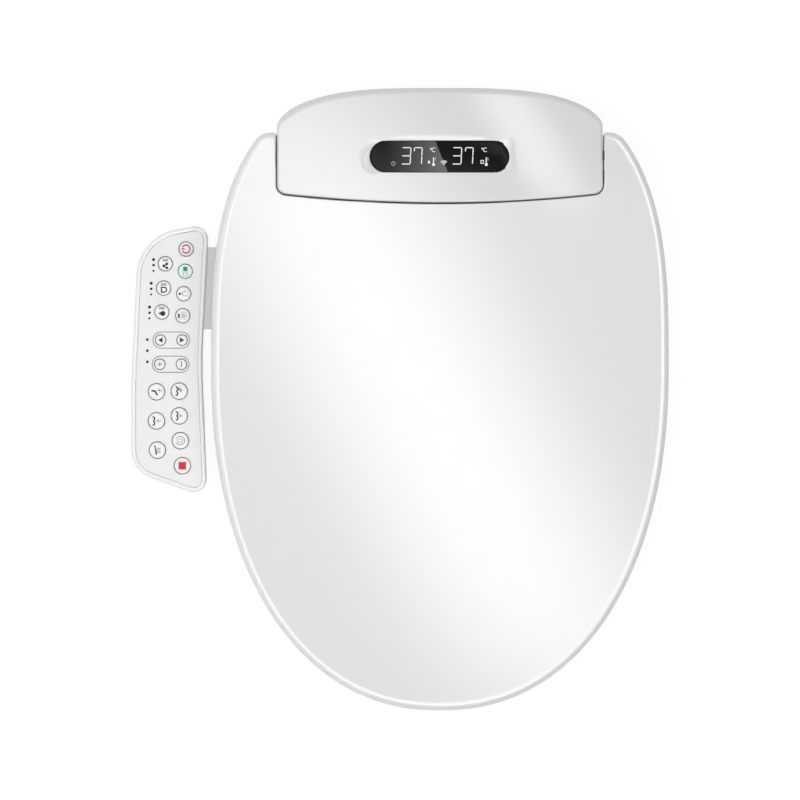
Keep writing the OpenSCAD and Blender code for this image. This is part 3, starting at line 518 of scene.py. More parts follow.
def plastic(name, colour, roughness, mottle=0.012, grain=0.02, grain_size=0.5, coat=0.0):
    """Moulded plastic: faint clouds of tone, handling marks in the gloss and a fine skin."""
    material, place = material_at(name)
    tone = 1 + (place.noise(14, 3) - 0.5) * (2 * mottle)
    marks = place.noise(60, 5, 0.6)
    place.node("BsdfPrincipled", inputs={
        "Base Color": (tone * 0.5).blend((0, 0, 0), shaded(colour, 2)),
        "Roughness": roughness + (marks - 0.5) * roughness * 0.5, "Coat Weight": coat,
        "Normal": place.noise(1 / (grain_size * mm), 2).bump(grain)}).show()
    return material


gloss_white = plastic("gloss_white", (0.79, 0.79, 0.79), 0.07, mottle=0.004, grain=0.01, grain_size=3)
finished(lid, "lid", "gloss_white", gloss_white, "lid_shell")


# ---- Housing cover ----
# The upper half of the rear housing, moulded in the lid's plastic and level with it.
# It drops over the lower case; its rear edge is rounded more fully than its front.
part_line = 38 * mm
cover_wall = 2.5 * mm
window_centre = (0, 5 * mm)
window_half = 58 * mm
window_end = 13.1 * mm
case_rear = 31.5 * mm
case_rear_powers = (3.2, 1.7)


def on_rays(line, centre, half_width, half_height, power):
    """Where the rays from a centre through a line's points meet an oval or, at power 0, a stadium."""
    points = []
    for x, y in line:
        dx, dy = x - centre[0], y - centre[1]
        if power:
            reach = (abs(dx / half_width) ** power + abs(dy / half_height) ** power) ** (-1 / power)
        else:
            straight = half_width - half_height
            reach = half_height / abs(dy) if dy else 1e9
            if abs(dx) * reach > straight:
                length = hypot(dx, dy)
                ux = abs(dx) / length
                reach = (straight * ux + sqrt(half_height ** 2 - (straight * dy / length) ** 2)) / length
        points.append((centre[0] + dx * reach, centre[1] + dy * reach))
    return points


def between(first, second, share):
    return [tuple(a[k] + (b[k] - a[k]) * share for k in (0, 1)) for a, b in zip(first, second)]


def at_level(level):
    return lambda x, y: level


case_edge = rounded_square(case_half_width, case_rear, *case_rear_powers, 180, 0)
case_edge = evenly(case_front_line(0) + moved(case_edge, 0, case_side_end)[1:], 2.5 * mm)[:-1]
case_inward = inward(case_edge)
window = on_rays(case_edge, window_centre, window_half, window_end, 0)


def edge_softness(y):
    """The size of the edge's rounding: small at the front, and growing along the sides to the rear."""
    share = min(max((y - soft_start) / soft_length, 0), 1)
    return front_softness + rear_softness * share * share * (3 - 2 * share)


front_softness = 1.2 * mm
rear_softness = 3.6 * mm
soft_start = 26 * mm
soft_length = 18 * mm
soft_power = 1.45
housing_top = below(crown, face_dip)
rings = [lifted(inset_line(case_edge, case_inward, 0.4 * mm), at_level(part_line + 0.2 * mm)),
         lifted(case_edge, at_level(part_line + 0.6 * mm))]
for inset, drop in soft_edge(1, 1, soft_power):
    line = inset_line(case_edge, case_inward, lambda y: edge_softness(y) * inset)
    rings.append([(x, y, housing_top(x, y) - edge_softness(y0) * drop)
                  for (x, y), (x0, y0) in zip(line, case_edge)])
edge = inset_line(case_edge, case_inward, edge_softness)
rim_share = 0.012
window_rim = between(window, edge, rim_share)
for share in [rim_share] + [i / 8 for i in range(1, 9)]:
    rings.append(lifted(between(edge, window_rim, share), housing_top))
for share, drop in ((0.007, 0.1 * mm), (0.005, 0.4 * mm)):
    rings.append(lifted(between(window, edge, share), below(housing_top, drop)))
cover = lofted("cover", rings)
face_outwards(cover)
modified(cover, "SOLIDIFY", thickness=cover_wall, offset=-1)
# Painted shade: the cover takes a darker copy of the lid's white, though both are the same plastic.
cover_white_painted_shade = plastic("cover_white_painted_shade", (0.735, 0.735, 0.735), 0.07, mottle=0.004, grain=0.01, grain_size=3)
finished(cover, "base", "gloss_white", cover_white_painted_shade, "rear_cover")


# ---- Seam shade strip ----
# A dark strip laid round the front and sides of the housing, under the seam beside the
# lid: painted shade that makes the narrow seam look dark.
def capped(name, rings):
    """A lofted body whose first and last rings are closed with faces."""
    piece = lofted(name, rings)
    bpy.ops.mesh.edge_face_add()
    bpy.ops.mesh.select_all(action="DESELECT")
    bpy.ops.mesh.select_non_manifold()
    bpy.ops.mesh.edge_face_add()
    merged(piece)
    return close(piece)


shade_strip_proud = 1.2 * mm
shade_strip_low = 83.6 * mm
shade_strip_top = 86 * mm
shade_strip_end = 24 * mm
shade_strip_outer = case_half_width + shade_strip_proud
shade_strip_line = [(shade_strip_outer, shade_strip_end), *case_front_line(shade_strip_proud), (-shade_strip_outer, shade_strip_end),
             (-case_half_width, shade_strip_end), *case_front_line(0)[::-1], (case_half_width, shade_strip_end)]
shade_strip_line = evenly(shade_strip_line + shade_strip_line[:1], 3 * mm)[:-1]
shade_strip = capped("seam_painted_shade_strip", [lifted(shade_strip_line, at_level(level)) for level in (shade_strip_low, shade_strip_top)])
# The strip's dark grey is painted shade, set to how dark the seam looks.
seam_painted_shade = plastic("seam_painted_shade", (0.28, 0.28, 0.28), 0.8, mottle=0.05, grain=0.4, grain_size=0.3)
finished(shade_strip, "base", "foot_rubber", seam_painted_shade)


# ---- Display ----
# A smoked window let into the cover, with lit figures and small signs behind it:
# the seat's warmth on one side, the water's on the other, with the wireless sign between.
def stadium(half_width, half_height, step):
    straight = half_width - half_height
    right = arc((straight, 0), half_height, 90, -90, 24)
    left = arc((-straight, 0), half_height, 270, 90, 24)
    return evenly(right + left + right[:1], step)[:-1]


window_gap = 0.25 * mm
window_line = moved(stadium(window_half - window_gap, window_end - window_gap, 2 * mm), *window_centre)
window_inward = inward(window_line)
rings = []
for inset, drop in ((0, 2.6), (0, 0.5), (0.12, 0.25), (0.4, 0.12), (0.8, 0.1)):
    line = inset_line(window_line, window_inward, inset * mm)
    rings.append([(*spot, crown(x, y) - drop * mm) for spot, (x, y) in zip(line, window_line)])
lens_step = 12 * mm
lens_depth = 0.1 * mm
lens = lofted("display_window", rings)
in_grid(lens, lens_step, below(crown, lens_depth))
face_outwards(lens)

# Painted reflection: left of a slanting edge the window's base colour is lighter, growing brighter towards
# that edge, in place of a reflection in the glass.
painted_reflection_edge_x = 3.3
painted_reflection_edge_lean = 0.4
painted_reflection_x = 3
painted_reflection_width = 52
painted_reflection_power = 1.3
painted_reflection_strength = 0.14
smoke_shade = 0.007
dust_shade = 0.003
smoked, place = material_at("smoked_window_painted_reflection")
across = place.along("X") * 1000
under_painted_reflection = place.math("LESS_THAN", across + place.along("Y") * (1000 * painted_reflection_edge_lean) - painted_reflection_edge_x, 0)
painted_reflection = place.math("MAXIMUM", 1 + (across - painted_reflection_x) / painted_reflection_width, 0) ** painted_reflection_power
# The window's grey is its own smoke tone and dust, plus the painted reflection on its left part.
shade = under_painted_reflection * painted_reflection * painted_reflection_strength + smoke_shade + place.noise(900, 2) * dust_shade
tone = place.node("CombineColor", inputs={"Red": shade, "Green": shade, "Blue": shade})
place.node("BsdfPrincipled", inputs={
    "Base Color": tone, "Roughness": 0.05 + place.noise(40, 4) * 0.05, "Specular IOR Level": 0.05}).show()
finished(lens, "base", "window_black", smoked, "display_lens")


def flat_mark(name, shapes, height, thickness=0.05 * mm):
    """A printed mark. A shape is one outline, or two outlines of as many points with a band between."""
    piece = None
    for shape in shapes:
        band = isinstance(shape[0], list)
        outline = shape[0] if band else shape
        if piece:
            bpy.ops.mesh.select_all(action="DESELECT")
        else:
            bpy.ops.object.select_all(action="DESELECT")
        bpy.ops.mesh.primitive_circle_add(vertices=len(outline), fill_type="NOTHING" if band else "NGON")
        if not piece:
            piece = bpy.context.object
            piece.name = piece.data.name = name
            edit(piece, "SELECT", "EDGE")
        for part in (shape if band else [shape]):
            if part is not outline:
                bpy.ops.mesh.extrude_edges_move()
            lay_selected(piece, lifted(part, height))
    bmesh.update_edit_mesh(piece.data)
    bpy.ops.mesh.select_mode(type="FACE")
    bpy.ops.mesh.select_all(action="SELECT")
    bpy.ops.mesh.normals_make_consistent(inside=False)
    bpy.ops.mesh.extrude_region_move(TRANSFORM_OT_translate={"value": (0, 0, thickness)})
    bpy.ops.mesh.select_all(action="SELECT")
    bpy.ops.mesh.normals_make_consistent(inside=False)
    return close(piece)


def bar(x0, y0, x1, y1, width, tip=0):
    """A straight stroke, square or with pointed tips."""
    length = hypot(x1 - x0, y1 - y0)
    ux, uy = (x1 - x0) / length, (y1 - y0) / length
    px, py = -uy * width / 2, ux * width / 2
    start, end = [(x0 - ux * tip, y0 - uy * tip)], [(x1 + ux * tip, y1 + uy * tip)]
    if not tip:
        start, end = [], []
    return start + [(x0 + px, y0 + py), (x1 + px, y1 + py)] + end + [(x1 - px, y1 - py), (x0 - px, y0 - py)]


def ring_band(x, y, outer, inner, start=0, end=360, count=36):
    """A whole ring as two outlines, or a part of one as a single outline."""
    edges = [arc((x, y), radius, start, end, count) for radius in (outer, inner)]
    if end - start < 360:
        return edges[0] + edges[1][::-1]
    return [edge[:-1] for edge in edges]


def disc(x, y, radius, count=28):
    return arc((x, y), radius, 0, 360 - 360 / count, count - 1)


segments = {"top": ((0, 2), (1, 2)), "middle": ((0, 1), (1, 1)), "bottom": ((0, 0), (1, 0)),
            "upper_right": ((1, 1), (1, 2)), "lower_right": ((1, 0), (1, 1)), "tick": ((0, 1.5), (0, 2))}
three = ("top", "middle", "bottom", "upper_right", "lower_right")
seven = ("top", "upper_right", "lower_right", "tick")
figure_height = 13.6 * mm
figure_low = -1.2 * mm
figure_slant = 0.05
figure_stroke = 0.8 * mm


def figure(left, lit_parts, width):
    """One figure of straight lit strokes with pointed ends, which leans a little to the right."""
    strokes = []
    for name in lit_parts:
        (ax, ay), (bx, by) = segments[name]
        ax, bx = left + ax * width, left + bx * width
        ay, by = ay * figure_height / 2, by * figure_height / 2
        length = hypot(bx - ax, by - ay)
        dx, dy = (figure_stroke * 0.62 * reach / length for reach in (bx - ax, by - ay))
        strokes.append(bar(ax + dx + figure_slant * ay, figure_low + ay + dy, bx - dx + figure_slant * by,
                           figure_low + by - dy, figure_stroke, figure_stroke * 0.4))
    return strokes


def degree_c(x, y):
    marks = [ring_band(x - 1.5 * mm, y + 1.0 * mm, 0.75 * mm, 0.35 * mm, count=14)]
    return marks + [ring_band(x + 1.1 * mm, y, 1.9 * mm, 1.35 * mm, 50, 310, 18)]


def thermometer(x, y):
    ticks = [bar(x + 0.9 * mm, y + up * mm, x + 1.8 * mm, y + up * mm, 0.45 * mm) for up in (2.8, 1.4)]
    return [bar(x, y - 1.2 * mm, x, y + 3.6 * mm, 0.8 * mm), disc(x, y - 2.4 * mm, 1.25 * mm, 16), *ticks]


def drop_shape(x, y, radius, tip, turn=90):
    """A water drop whose point is at the given turn."""
    a = radians(turn - 90)
    return [(x + px * cos(a) - py * sin(a), y + px * sin(a) + py * cos(a))
            for px, py in arc((0, 0), radius, 55, -235, 20) + [(0, tip)]]


lit_marks = []
for left, lit_parts, width in ((-32, three, 7.2), (-21.9, seven, 6.5), (10.2, three, 7.2),
                               (20.6, seven, 6.3)):
    lit_marks += figure(left * mm, lit_parts, width * mm)
lit_marks += degree_c(-6.2 * mm, 10.6 * mm) + degree_c(36.6 * mm, 10.6 * mm)
lit_marks += thermometer(-5.4 * mm, 0.8 * mm) + thermometer(38.4 * mm, 0.8 * mm)
lit_marks += [drop_shape(-9.2 * mm, 0.2 * mm, 1.0 * mm, 2.3 * mm)]
for x0, y0, x1, y1 in ((33.6, -0.6, 36.4, -0.6), (33.9, -0.6, 33.9, 1.8), (36.1, -0.6, 36.1, 1.8),
                       (33.6, 1.8, 36.4, 1.8)):
    lit_marks.append(bar(x0 * mm, y0 * mm, x1 * mm, y1 * mm, 0.6 * mm))
behind_glass = below(crown, 0.09 * mm)
lit_film = 0.03 * mm
figures = flat_mark("display_figures", lit_marks, behind_glass, lit_film)
fan_foot = (3.1 * mm, -2.1 * mm)
power_x = -38.7 * mm
dim_signs = flat_mark("display_dim_signs", [
    ring_band(power_x, -0.8 * mm, 1.75 * mm, 1.35 * mm, -235, 55, 22),
    bar(power_x, -0.6 * mm, power_x, 1.4 * mm, 0.42 * mm),
    arc(fan_foot, 4.1 * mm, 45, 135, 12) + [fan_foot]], behind_glass, lit_film)


def lit(name, colour, strength):
    """Light from a small lamp behind the smoked window, uneven as light through a film is."""
    material, place = material_at(name)
    place.node("BsdfPrincipled", inputs={
        "Base Color": (0.02, 0.02, 0.02, 1), "Roughness": 0.3, "Emission Strength": strength,
        "Emission Color": place.noise(300, 2).blend(colour, shaded(colour, 0.86))}).show()
    return material


finished(figures, "base", "window_black", lit("lit_white", (0.92, 0.94, 0.95), 0.95))
finished(dim_signs, "base", "window_black", lit("lit_dim", (0.62, 0.64, 0.64), 0.7))


# ---- Seat ring ----
# A warm ring of glossy polypropylene with fat rounded edges, in two mouldings with the
# heating foil between them. Two arms at the back carry it on the hinge pins.
seat_inset = 5 * mm
seat_rear = -40 * mm
seat_top_level = 76 * mm
seat_crown = -47 * mm
seat_under = 18 * mm
opening_centre = (0, -251 * mm)
opening_half = (105 * mm, 133 * mm)
opening_power = 2.2
seat_round = 11 * mm
rear_corner = 12 * mm


def seat_surface(x, y):
    return seat_top_level - crown_radius + sqrt(crown_radius ** 2 - x * x - (y - seat_crown) ** 2)


rim = [p for p in lid_rim(seat_inset) if p[1] < seat_rear]
corner = (rim[0][0], seat_rear)
rim = [p for p in rim if hypot(abs(p[0]) - corner[0], p[1] - corner[1]) > rear_corner]
right_corner = eased_corner((corner[0] - rear_corner, seat_rear), corner, rim[0])
left_corner = [(-x, y) for x, y in right_corner[::-1]]
seat_edge = evenly(right_corner + rim[1:-1] + left_corner + [right_corner[0]], 4 * mm)[:-1]
seat_inward = inward(seat_edge)


def seat_line(inset):
    return inset_line(seat_edge, seat_inward, inset)


def opening_line(grow):
    return on_rays(seat_edge, opening_centre, opening_half[0] + grow, opening_half[1] + grow, opening_power)


joint_inset = 3.2
joint_end = 3.7
under_steps = ((joint_end, 0), (joint_end, 0.7), (joint_inset, 0.7), (joint_inset, 0), (2, 0), (1.2, 0.15),
               (0.4, 0.8), (0, 2))
turns = [i / 10 * pi / 2 for i in range(11)]
rings = []
for inset, rise in under_steps:
    rings.append(lifted(seat_line(inset * mm), at_level(seat_under + rise * mm)))
for turn in turns:
    line = seat_line(seat_round * (1 - cos(turn)))
    rings.append(lifted(line, below(seat_surface, seat_round * (1 - sin(turn)))))
for i in range(1, 8):
    rings.append(lifted(between(seat_line(seat_round), opening_line(seat_round), i / 8), seat_surface))
for turn in turns:
    line = opening_line(seat_round * (1 - sin(turn)))
    rings.append(lifted(line, below(seat_surface, seat_round * (1 - cos(turn)))))
for inset, rise in under_steps[::-1]:
    rings.append(lifted(opening_line(inset * mm), at_level(seat_under + rise * mm)))
under = opening_line(joint_end * mm), seat_line(joint_end * mm)
rings += [lifted(between(*under, i / 4), at_level(seat_under)) for i in range(1, 5)]
seat = lofted("seat_ring", rings)
face_outwards(seat)


def cut(piece, cutter):
    """Cuts a shape out of a piece and clears the shape away."""
    modified(piece, "BOOLEAN", object=cutter, operation="DIFFERENCE", solver="EXACT")
    bpy.data.objects.remove(cutter)


nose_slope = 1 / sqrt(3)
nose_level = 24.3 * mm
relief_half = 54 * mm
relief_low = 10 * mm
relief_back = -20 * mm
relief_foot = -98 * mm - (nose_level - seat_under) / nose_slope
relief_head = nose_level + 78 * mm * nose_slope
bpy.ops.object.select_all(action="DESELECT")
bpy.ops.mesh.primitive_cube_add(size=1)
relief = bpy.context.object
for vertex in relief.data.vertices:
    front = vertex.co.y < 0
    high = seat_under if front else relief_head
    vertex.co = (relief_half * (1 if vertex.co.x > 0 else -1), relief_foot if front else relief_back,
                 high if vertex.co.z > 0 else relief_low)
cut(seat, relief)
seat_white = plastic("seat_white", (0.735, 0.735, 0.73), 0.09, mottle=0.004, grain=0.012, grain_size=2)
finished(seat, "seat", "seat_white", seat_white, "seat_top", "seat_bottom")

hinge_y = 6 * mm
hinge_z = 78 * mm
arm_inner = 138.3 * mm
arm_outer = 147.6 * mm
arm_boss = 12 * mm


def on_each_side(name, points, steps, *finish):
    """Two mirrored pieces from a side view. A step gives how far out a ring lies and how far inset."""
    inwards = inward(points)
    for side, side_name in ((-1, "_left"), (1, "_right")):
        rings = []
        for out, inset in steps:
            line = inset_line(points, inwards, inset * mm)
            rings.append([(side * out(y), *spot) for spot, (y, z) in zip(line, points)])
        finished(capped(name + side_name, rings), *finish)


def out_by(reach):
    return lambda y: reach


arm_back = -52 * mm
arm_high = 73.5 * mm
arm_low = 24 * mm
arm_side = [(arm_back, arm_high), *arc((hinge_y, hinge_z), arm_boss, 108, -121, 22), (arm_back, arm_low)]
arm_side = evenly(arm_side + arm_side[:1], 3 * mm)[:-1]
arm_edge = ((0, 1.2), (0.35, 0.35), (1.2, 0))
arm_steps = [(out_by(arm_inner + step * mm), inset) for step, inset in arm_edge]
arm_steps += [(out_by(arm_outer - step * mm), inset) for step, inset in arm_edge[::-1]]
on_each_side("seat_arm", arm_side, arm_steps, "seat", "seat_white", seat_white)


# ---- Lid hinge blocks ----
# Thick bosses moulded inside the lid's ears, which turn on the ends of the damper pins.
block_inner = 148.6 * mm
block_boss = 9 * mm
block_top = 93 * mm
block_clear = 2.5 * mm


def inside_lid(step):
    """How far out a ring lies, at most as far as the inside of the lid's edge beside it."""
    def out(y):
        share = (y - lid_widest) / lid_back
        edge = lid_half_width * (1 - share ** lid_back_power) ** (1 / lid_back_power)
        return min(block_inner + step * mm, edge - block_clear)
    return out


boss = [(hinge_y + block_boss, block_top), *arc((hinge_y, hinge_z), block_boss, 0, -180, 18),
        (hinge_y - block_boss, block_top)]
boss = evenly(boss + boss[:1], 2.5 * mm)[:-1]
boss_steps = [(inside_lid(step), inset) for step, inset in ((0, 0.8), (0.25, 0.25), (0.8, 0), (11, 0))]
on_each_side("lid_block", boss, boss_steps, "lid", "gloss_white", gloss_white)


# ---- Side panel ----
# Two satin white shells screwed together from below. The upper one has a rounded rim
# with a printed film face laid in it, and the lower one is shallow and dished at its edge.
lid_side = -192 * mm
panel_corners = [(0, -50, 11), (-59, -61.5, 40), (-64.8, -185, 400), (-64.5, -256, 24),
                 (-1.2, -278.5, 11), (-5.8, -165, 500)]
panel_top = 46.6 * mm
panel_under = 6 * mm
panel_part = 26 * mm
film_thick = 0.5 * mm
film_dip = 0.6 * mm
rim_width = 3.6 * mm
groove_width = 0.45 * mm
groove_depth = 2.2 * mm


def rounded_outline(corners, step):
    """The closed outline through corners with a radius each, clockwise and evenly divided."""
    points = []
    for i, (x, y, radius) in enumerate(corners):
        legs = []
        for other in (corners[i - 1], corners[(i + 1) % len(corners)]):
            length = hypot(other[0] - x, other[1] - y)
            legs.append(((other[0] - x) / length, (other[1] - y) / length))
        (ux, uy), (vx, vy) = legs
        half = atan2(abs(ux * vy - uy * vx), ux * vx + uy * vy) / 2
        bisector = hypot(ux + vx, uy + vy)
        reach = radius / sin(half)
        centre = (x + (ux + vx) / bisector * reach, y + (uy + vy) / bisector * reach)
        start, end = [atan2(y + dy * reach * cos(half) - centre[1], x + dx * reach * cos(half) - centre[0])
                      for dx, dy in legs]
        turn = (end - start + 3 * pi) % (2 * pi) - pi
        points += arc(centre, radius, degrees(start), degrees(start + turn), 12)
    return evenly((points + points[:1])[::-1], step)[:-1]


panel_line = rounded_outline([(lid_side + x * mm, y * mm, r * mm) for x, y, r in panel_corners], 2 * mm)
panel_inward = inward(panel_line)


def panel_rings(start_inset, start_level, steps):
    """Rings of the panel at insets and levels in mm, counted from a start."""
    return [lifted(inset_line(panel_line, panel_inward, start_inset + inset * mm),
                   at_level(start_level + rise * mm)) for inset, rise in steps]


panel_edge = soft_edge(1.2, 3.5, 1.5)
film_inset = rim_width + groove_width
film_bed = panel_top - film_dip
rings = panel_rings(0, panel_part, ((2, 0.3), (0.35, 0.3), (0, 0.7)))
rings += panel_rings(0, panel_top, [(inset, -drop) for inset, drop in panel_edge])
rings += panel_rings(rim_width, panel_top, ((-0.3, 0), (-0.05, -0.12), (0, -0.3), (0, -groove_depth / mm)))
rings += panel_rings(film_inset, panel_top, ((0, -groove_depth / mm), (0, -film_dip / mm)))
panel_lid = capped("panel_upper", rings)
panel_white = plastic("panel_white", (0.9, 0.9, 0.895), 0.22, mottle=0.006, grain=0.05, grain_size=0.8)
finished(panel_lid, "base", "panel_white", panel_white, "panel_cover")


def drill(piece, radius, depth, corners, place):
    """Cuts a round hole into a piece."""
    bpy.ops.object.select_all(action="DESELECT")
    bpy.ops.mesh.primitive_cylinder_add(vertices=corners, radius=radius, depth=depth, location=place)
    cut(piece, bpy.context.object)


foot_round = 4
screw_head = 3.6 * mm
turns = [i / 8 * pi / 2 for i in range(9)]
foot = [(foot_round * (1 - sin(turn)), foot_round * (1 - cos(turn))) for turn in turns]
rings = panel_rings(0, panel_under, foot)
rings += panel_rings(0, panel_part, ((0, -0.7), (0.35, -0.3), (2, -0.3), (2, 0.3)))
panel_tray = capped("panel_lower", rings)
screw_holes = [(-51, -112), (-12.5, -178), (-55, -250), (-12, -141)]
for x, y in screw_holes:
    drill(panel_tray, screw_head, 2 * mm, 40, (lid_side + x * mm, y * mm, panel_under))
finished(panel_tray, "base", "panel_white", panel_white, "panel_base")


# ---- Keys ----
# Eighteen round caps that come up through holes in the printed film. Each has a plain sign
# printed on it, and a dark ring at its edge that is painted shade for the gap between cap
# and film; the signs are turned so that they read from the seat.
key_nodes = [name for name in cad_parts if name.startswith("key_") and name != "key_board"]
flange_width = 1 * mm


class Key:
    """A key's place, the radius of its cap and the level of its top."""

    def __init__(self, node):
        low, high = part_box(node)
        self.node = node
        self.x = (low[0] + high[0]) / 2
        self.y = (low[1] + high[1]) / 2
        self.radius = (high[0] - low[0]) / 2 - flange_width
        self.top = high[2]
        self.low = low[2]

    def spot(self, right, up):
        """A point of the printed sign, whose up side lies towards the panel's outer edge."""
        return self.x - up * mm, self.y + right * mm

    def bar(self, right0, up0, right1, up1, width):
        return bar(*self.spot(right0, up0), *self.spot(right1, up1), width * mm)

    def disc(self, right, up, radius):
        return disc(*self.spot(right, up), radius * mm, 24)

    def band(self, right, up, outer, inner, start=0, end=360, count=36):
        """A ring or part of one. Angles count from the sign's right, anticlockwise."""
        return ring_band(*self.spot(right, up), outer * mm, inner * mm, start + 90, end + 90, count)

    def shape(self, points):
        return [self.spot(right, up) for right, up in points]

    def stroke(self, points, width):
        return [self.bar(*a, *b, width) for a, b in zip(points, points[1:])] + [
            self.disc(*p, width / 2) for p in points[1:-1]]


keys = [Key(node) for node in key_nodes]
key_white = plastic("key_white", (0.91, 0.915, 0.91), 0.3, mottle=0.006, grain=0.06, grain_size=0.4)
cap_edge = 0.16 * mm
stem_radius = 2.2 * mm
flange_top = film_bed - 2.3 * mm
flange_low = flange_top - 1.5 * mm
for key in keys:
    flange = key.radius + flange_width
    steps = ((stem_radius, key.low), (stem_radius, flange_low), (flange, flange_low), (flange, flange_top),
             (key.radius, flange_top), (key.radius, key.top - cap_edge),
             (key.radius - 0.04 * mm, key.top - 0.04 * mm), (key.radius - 0.12 * mm, key.top))
    rings = [lifted(arc((key.x, key.y), radius, 0, 352.5, 47), at_level(level)) for radius, level in steps]
    finished(capped(key.node + "_cap", rings), key.node + "_body", "key_white", key_white, key.node)

film_top = film_bed + film_thick
key_gap = 0.3 * mm
film = lofted("panel_film", panel_rings(film_inset, film_bed, [(0, 0)])
              + panel_rings(film_inset, film_top, ((0, -0.1), (0.1, 0))))
bpy.ops.mesh.edge_face_add()
face_outwards(film)
for key in keys:
    drill(film, key.radius + key_gap, 6 * mm, 48, (key.x, key.y, panel_top))
film_grey = plastic("film_grey", (0.815, 0.82, 0.82), 0.34, mottle=0.006, grain=0.08, grain_size=0.25)
finished(film, "base", "panel_face", film_grey, "panel_overlay")


def ink(name, colour):
    """Screen-printed ink: an even colour with a faint grain where the mesh let it through."""
    material, place = material_at(name)
    grain = place.noise(4000, 2)
    pale = [min(part, 1) for part in shaded(colour, 1.1)]
    place.node("BsdfPrincipled", inputs={
        "Base Color": grain.blend(shaded(colour, 0.88), pale), "Roughness": 0.35 + grain * 0.1,
        "Specular IOR Level": 0.3}).show()
    return material


# The line ink prints the pill outlines round the key pairs, and also the dark rings at the caps' edges, which
# are painted shade for the gap round each cap.
inks = {"line": (0.07, 0.072, 0.072), "black": (0.003, 0.003, 0.003), "grey": (0.08, 0.08, 0.08),
        "pink": (0.95, 0.78, 0.81), "maroon": (0.2, 0.02, 0.05), "mint": (0.78, 0.95, 0.88),
        "green": (0.02, 0.27, 0.13), "pale_green": (0.2, 0.6, 0.42), "red": (0.62, 0.008, 0.025),
        "blush": (0.85, 0.6, 0.6)}
inks = {name: ink("ink_" + name, colour) for name, colour in inks.items()}
key_named = {key.node.removeprefix("key_"): key for key in keys}
ink_film = 0.02 * mm


def steam(key):
    return [key.bar(right, -2.3, right, 2.3, 0.42) for right in (2.3, 3.05, 3.8)]


def washed_curve(key, up=2.0):
    """The plain curve that stands for a seated person on wash keys."""
    half = [(3.7, up + 1.2), (2.9, up - 0.2), (1.5, up - 0.6)]
    return key.stroke([(-x, y) for x, y in half] + [(0, up + 0.5)] + half[::-1], 1.05)


def spray(key, length):
    sides = [key.bar(0.4 * side, -0.4, 1.9 * side, 0.4 - length * 0.55, 0.35) for side in (-1, 1)]
    return [key.bar(0, 0.6, 0, 0.6 - length, 0.55)] + sides


def square(key, half):
    return key.shape([(-half, -half), (half, -half), (half, half), (-half, half)])


def d_shape(key, grow):
    """A seat seen from above: square at its back and round at its front."""
    front = arc((0, 0), 1, 0, -180, 14)
    width, depth = 2.1 + grow, 1.9 + grow
    return key.shape([(-1.35 - width, 1.9 + grow), (-1.35 + width, 1.9 + grow)] + [
        (-1.35 + width * x, -0.6 + depth * y) for x, y in front])


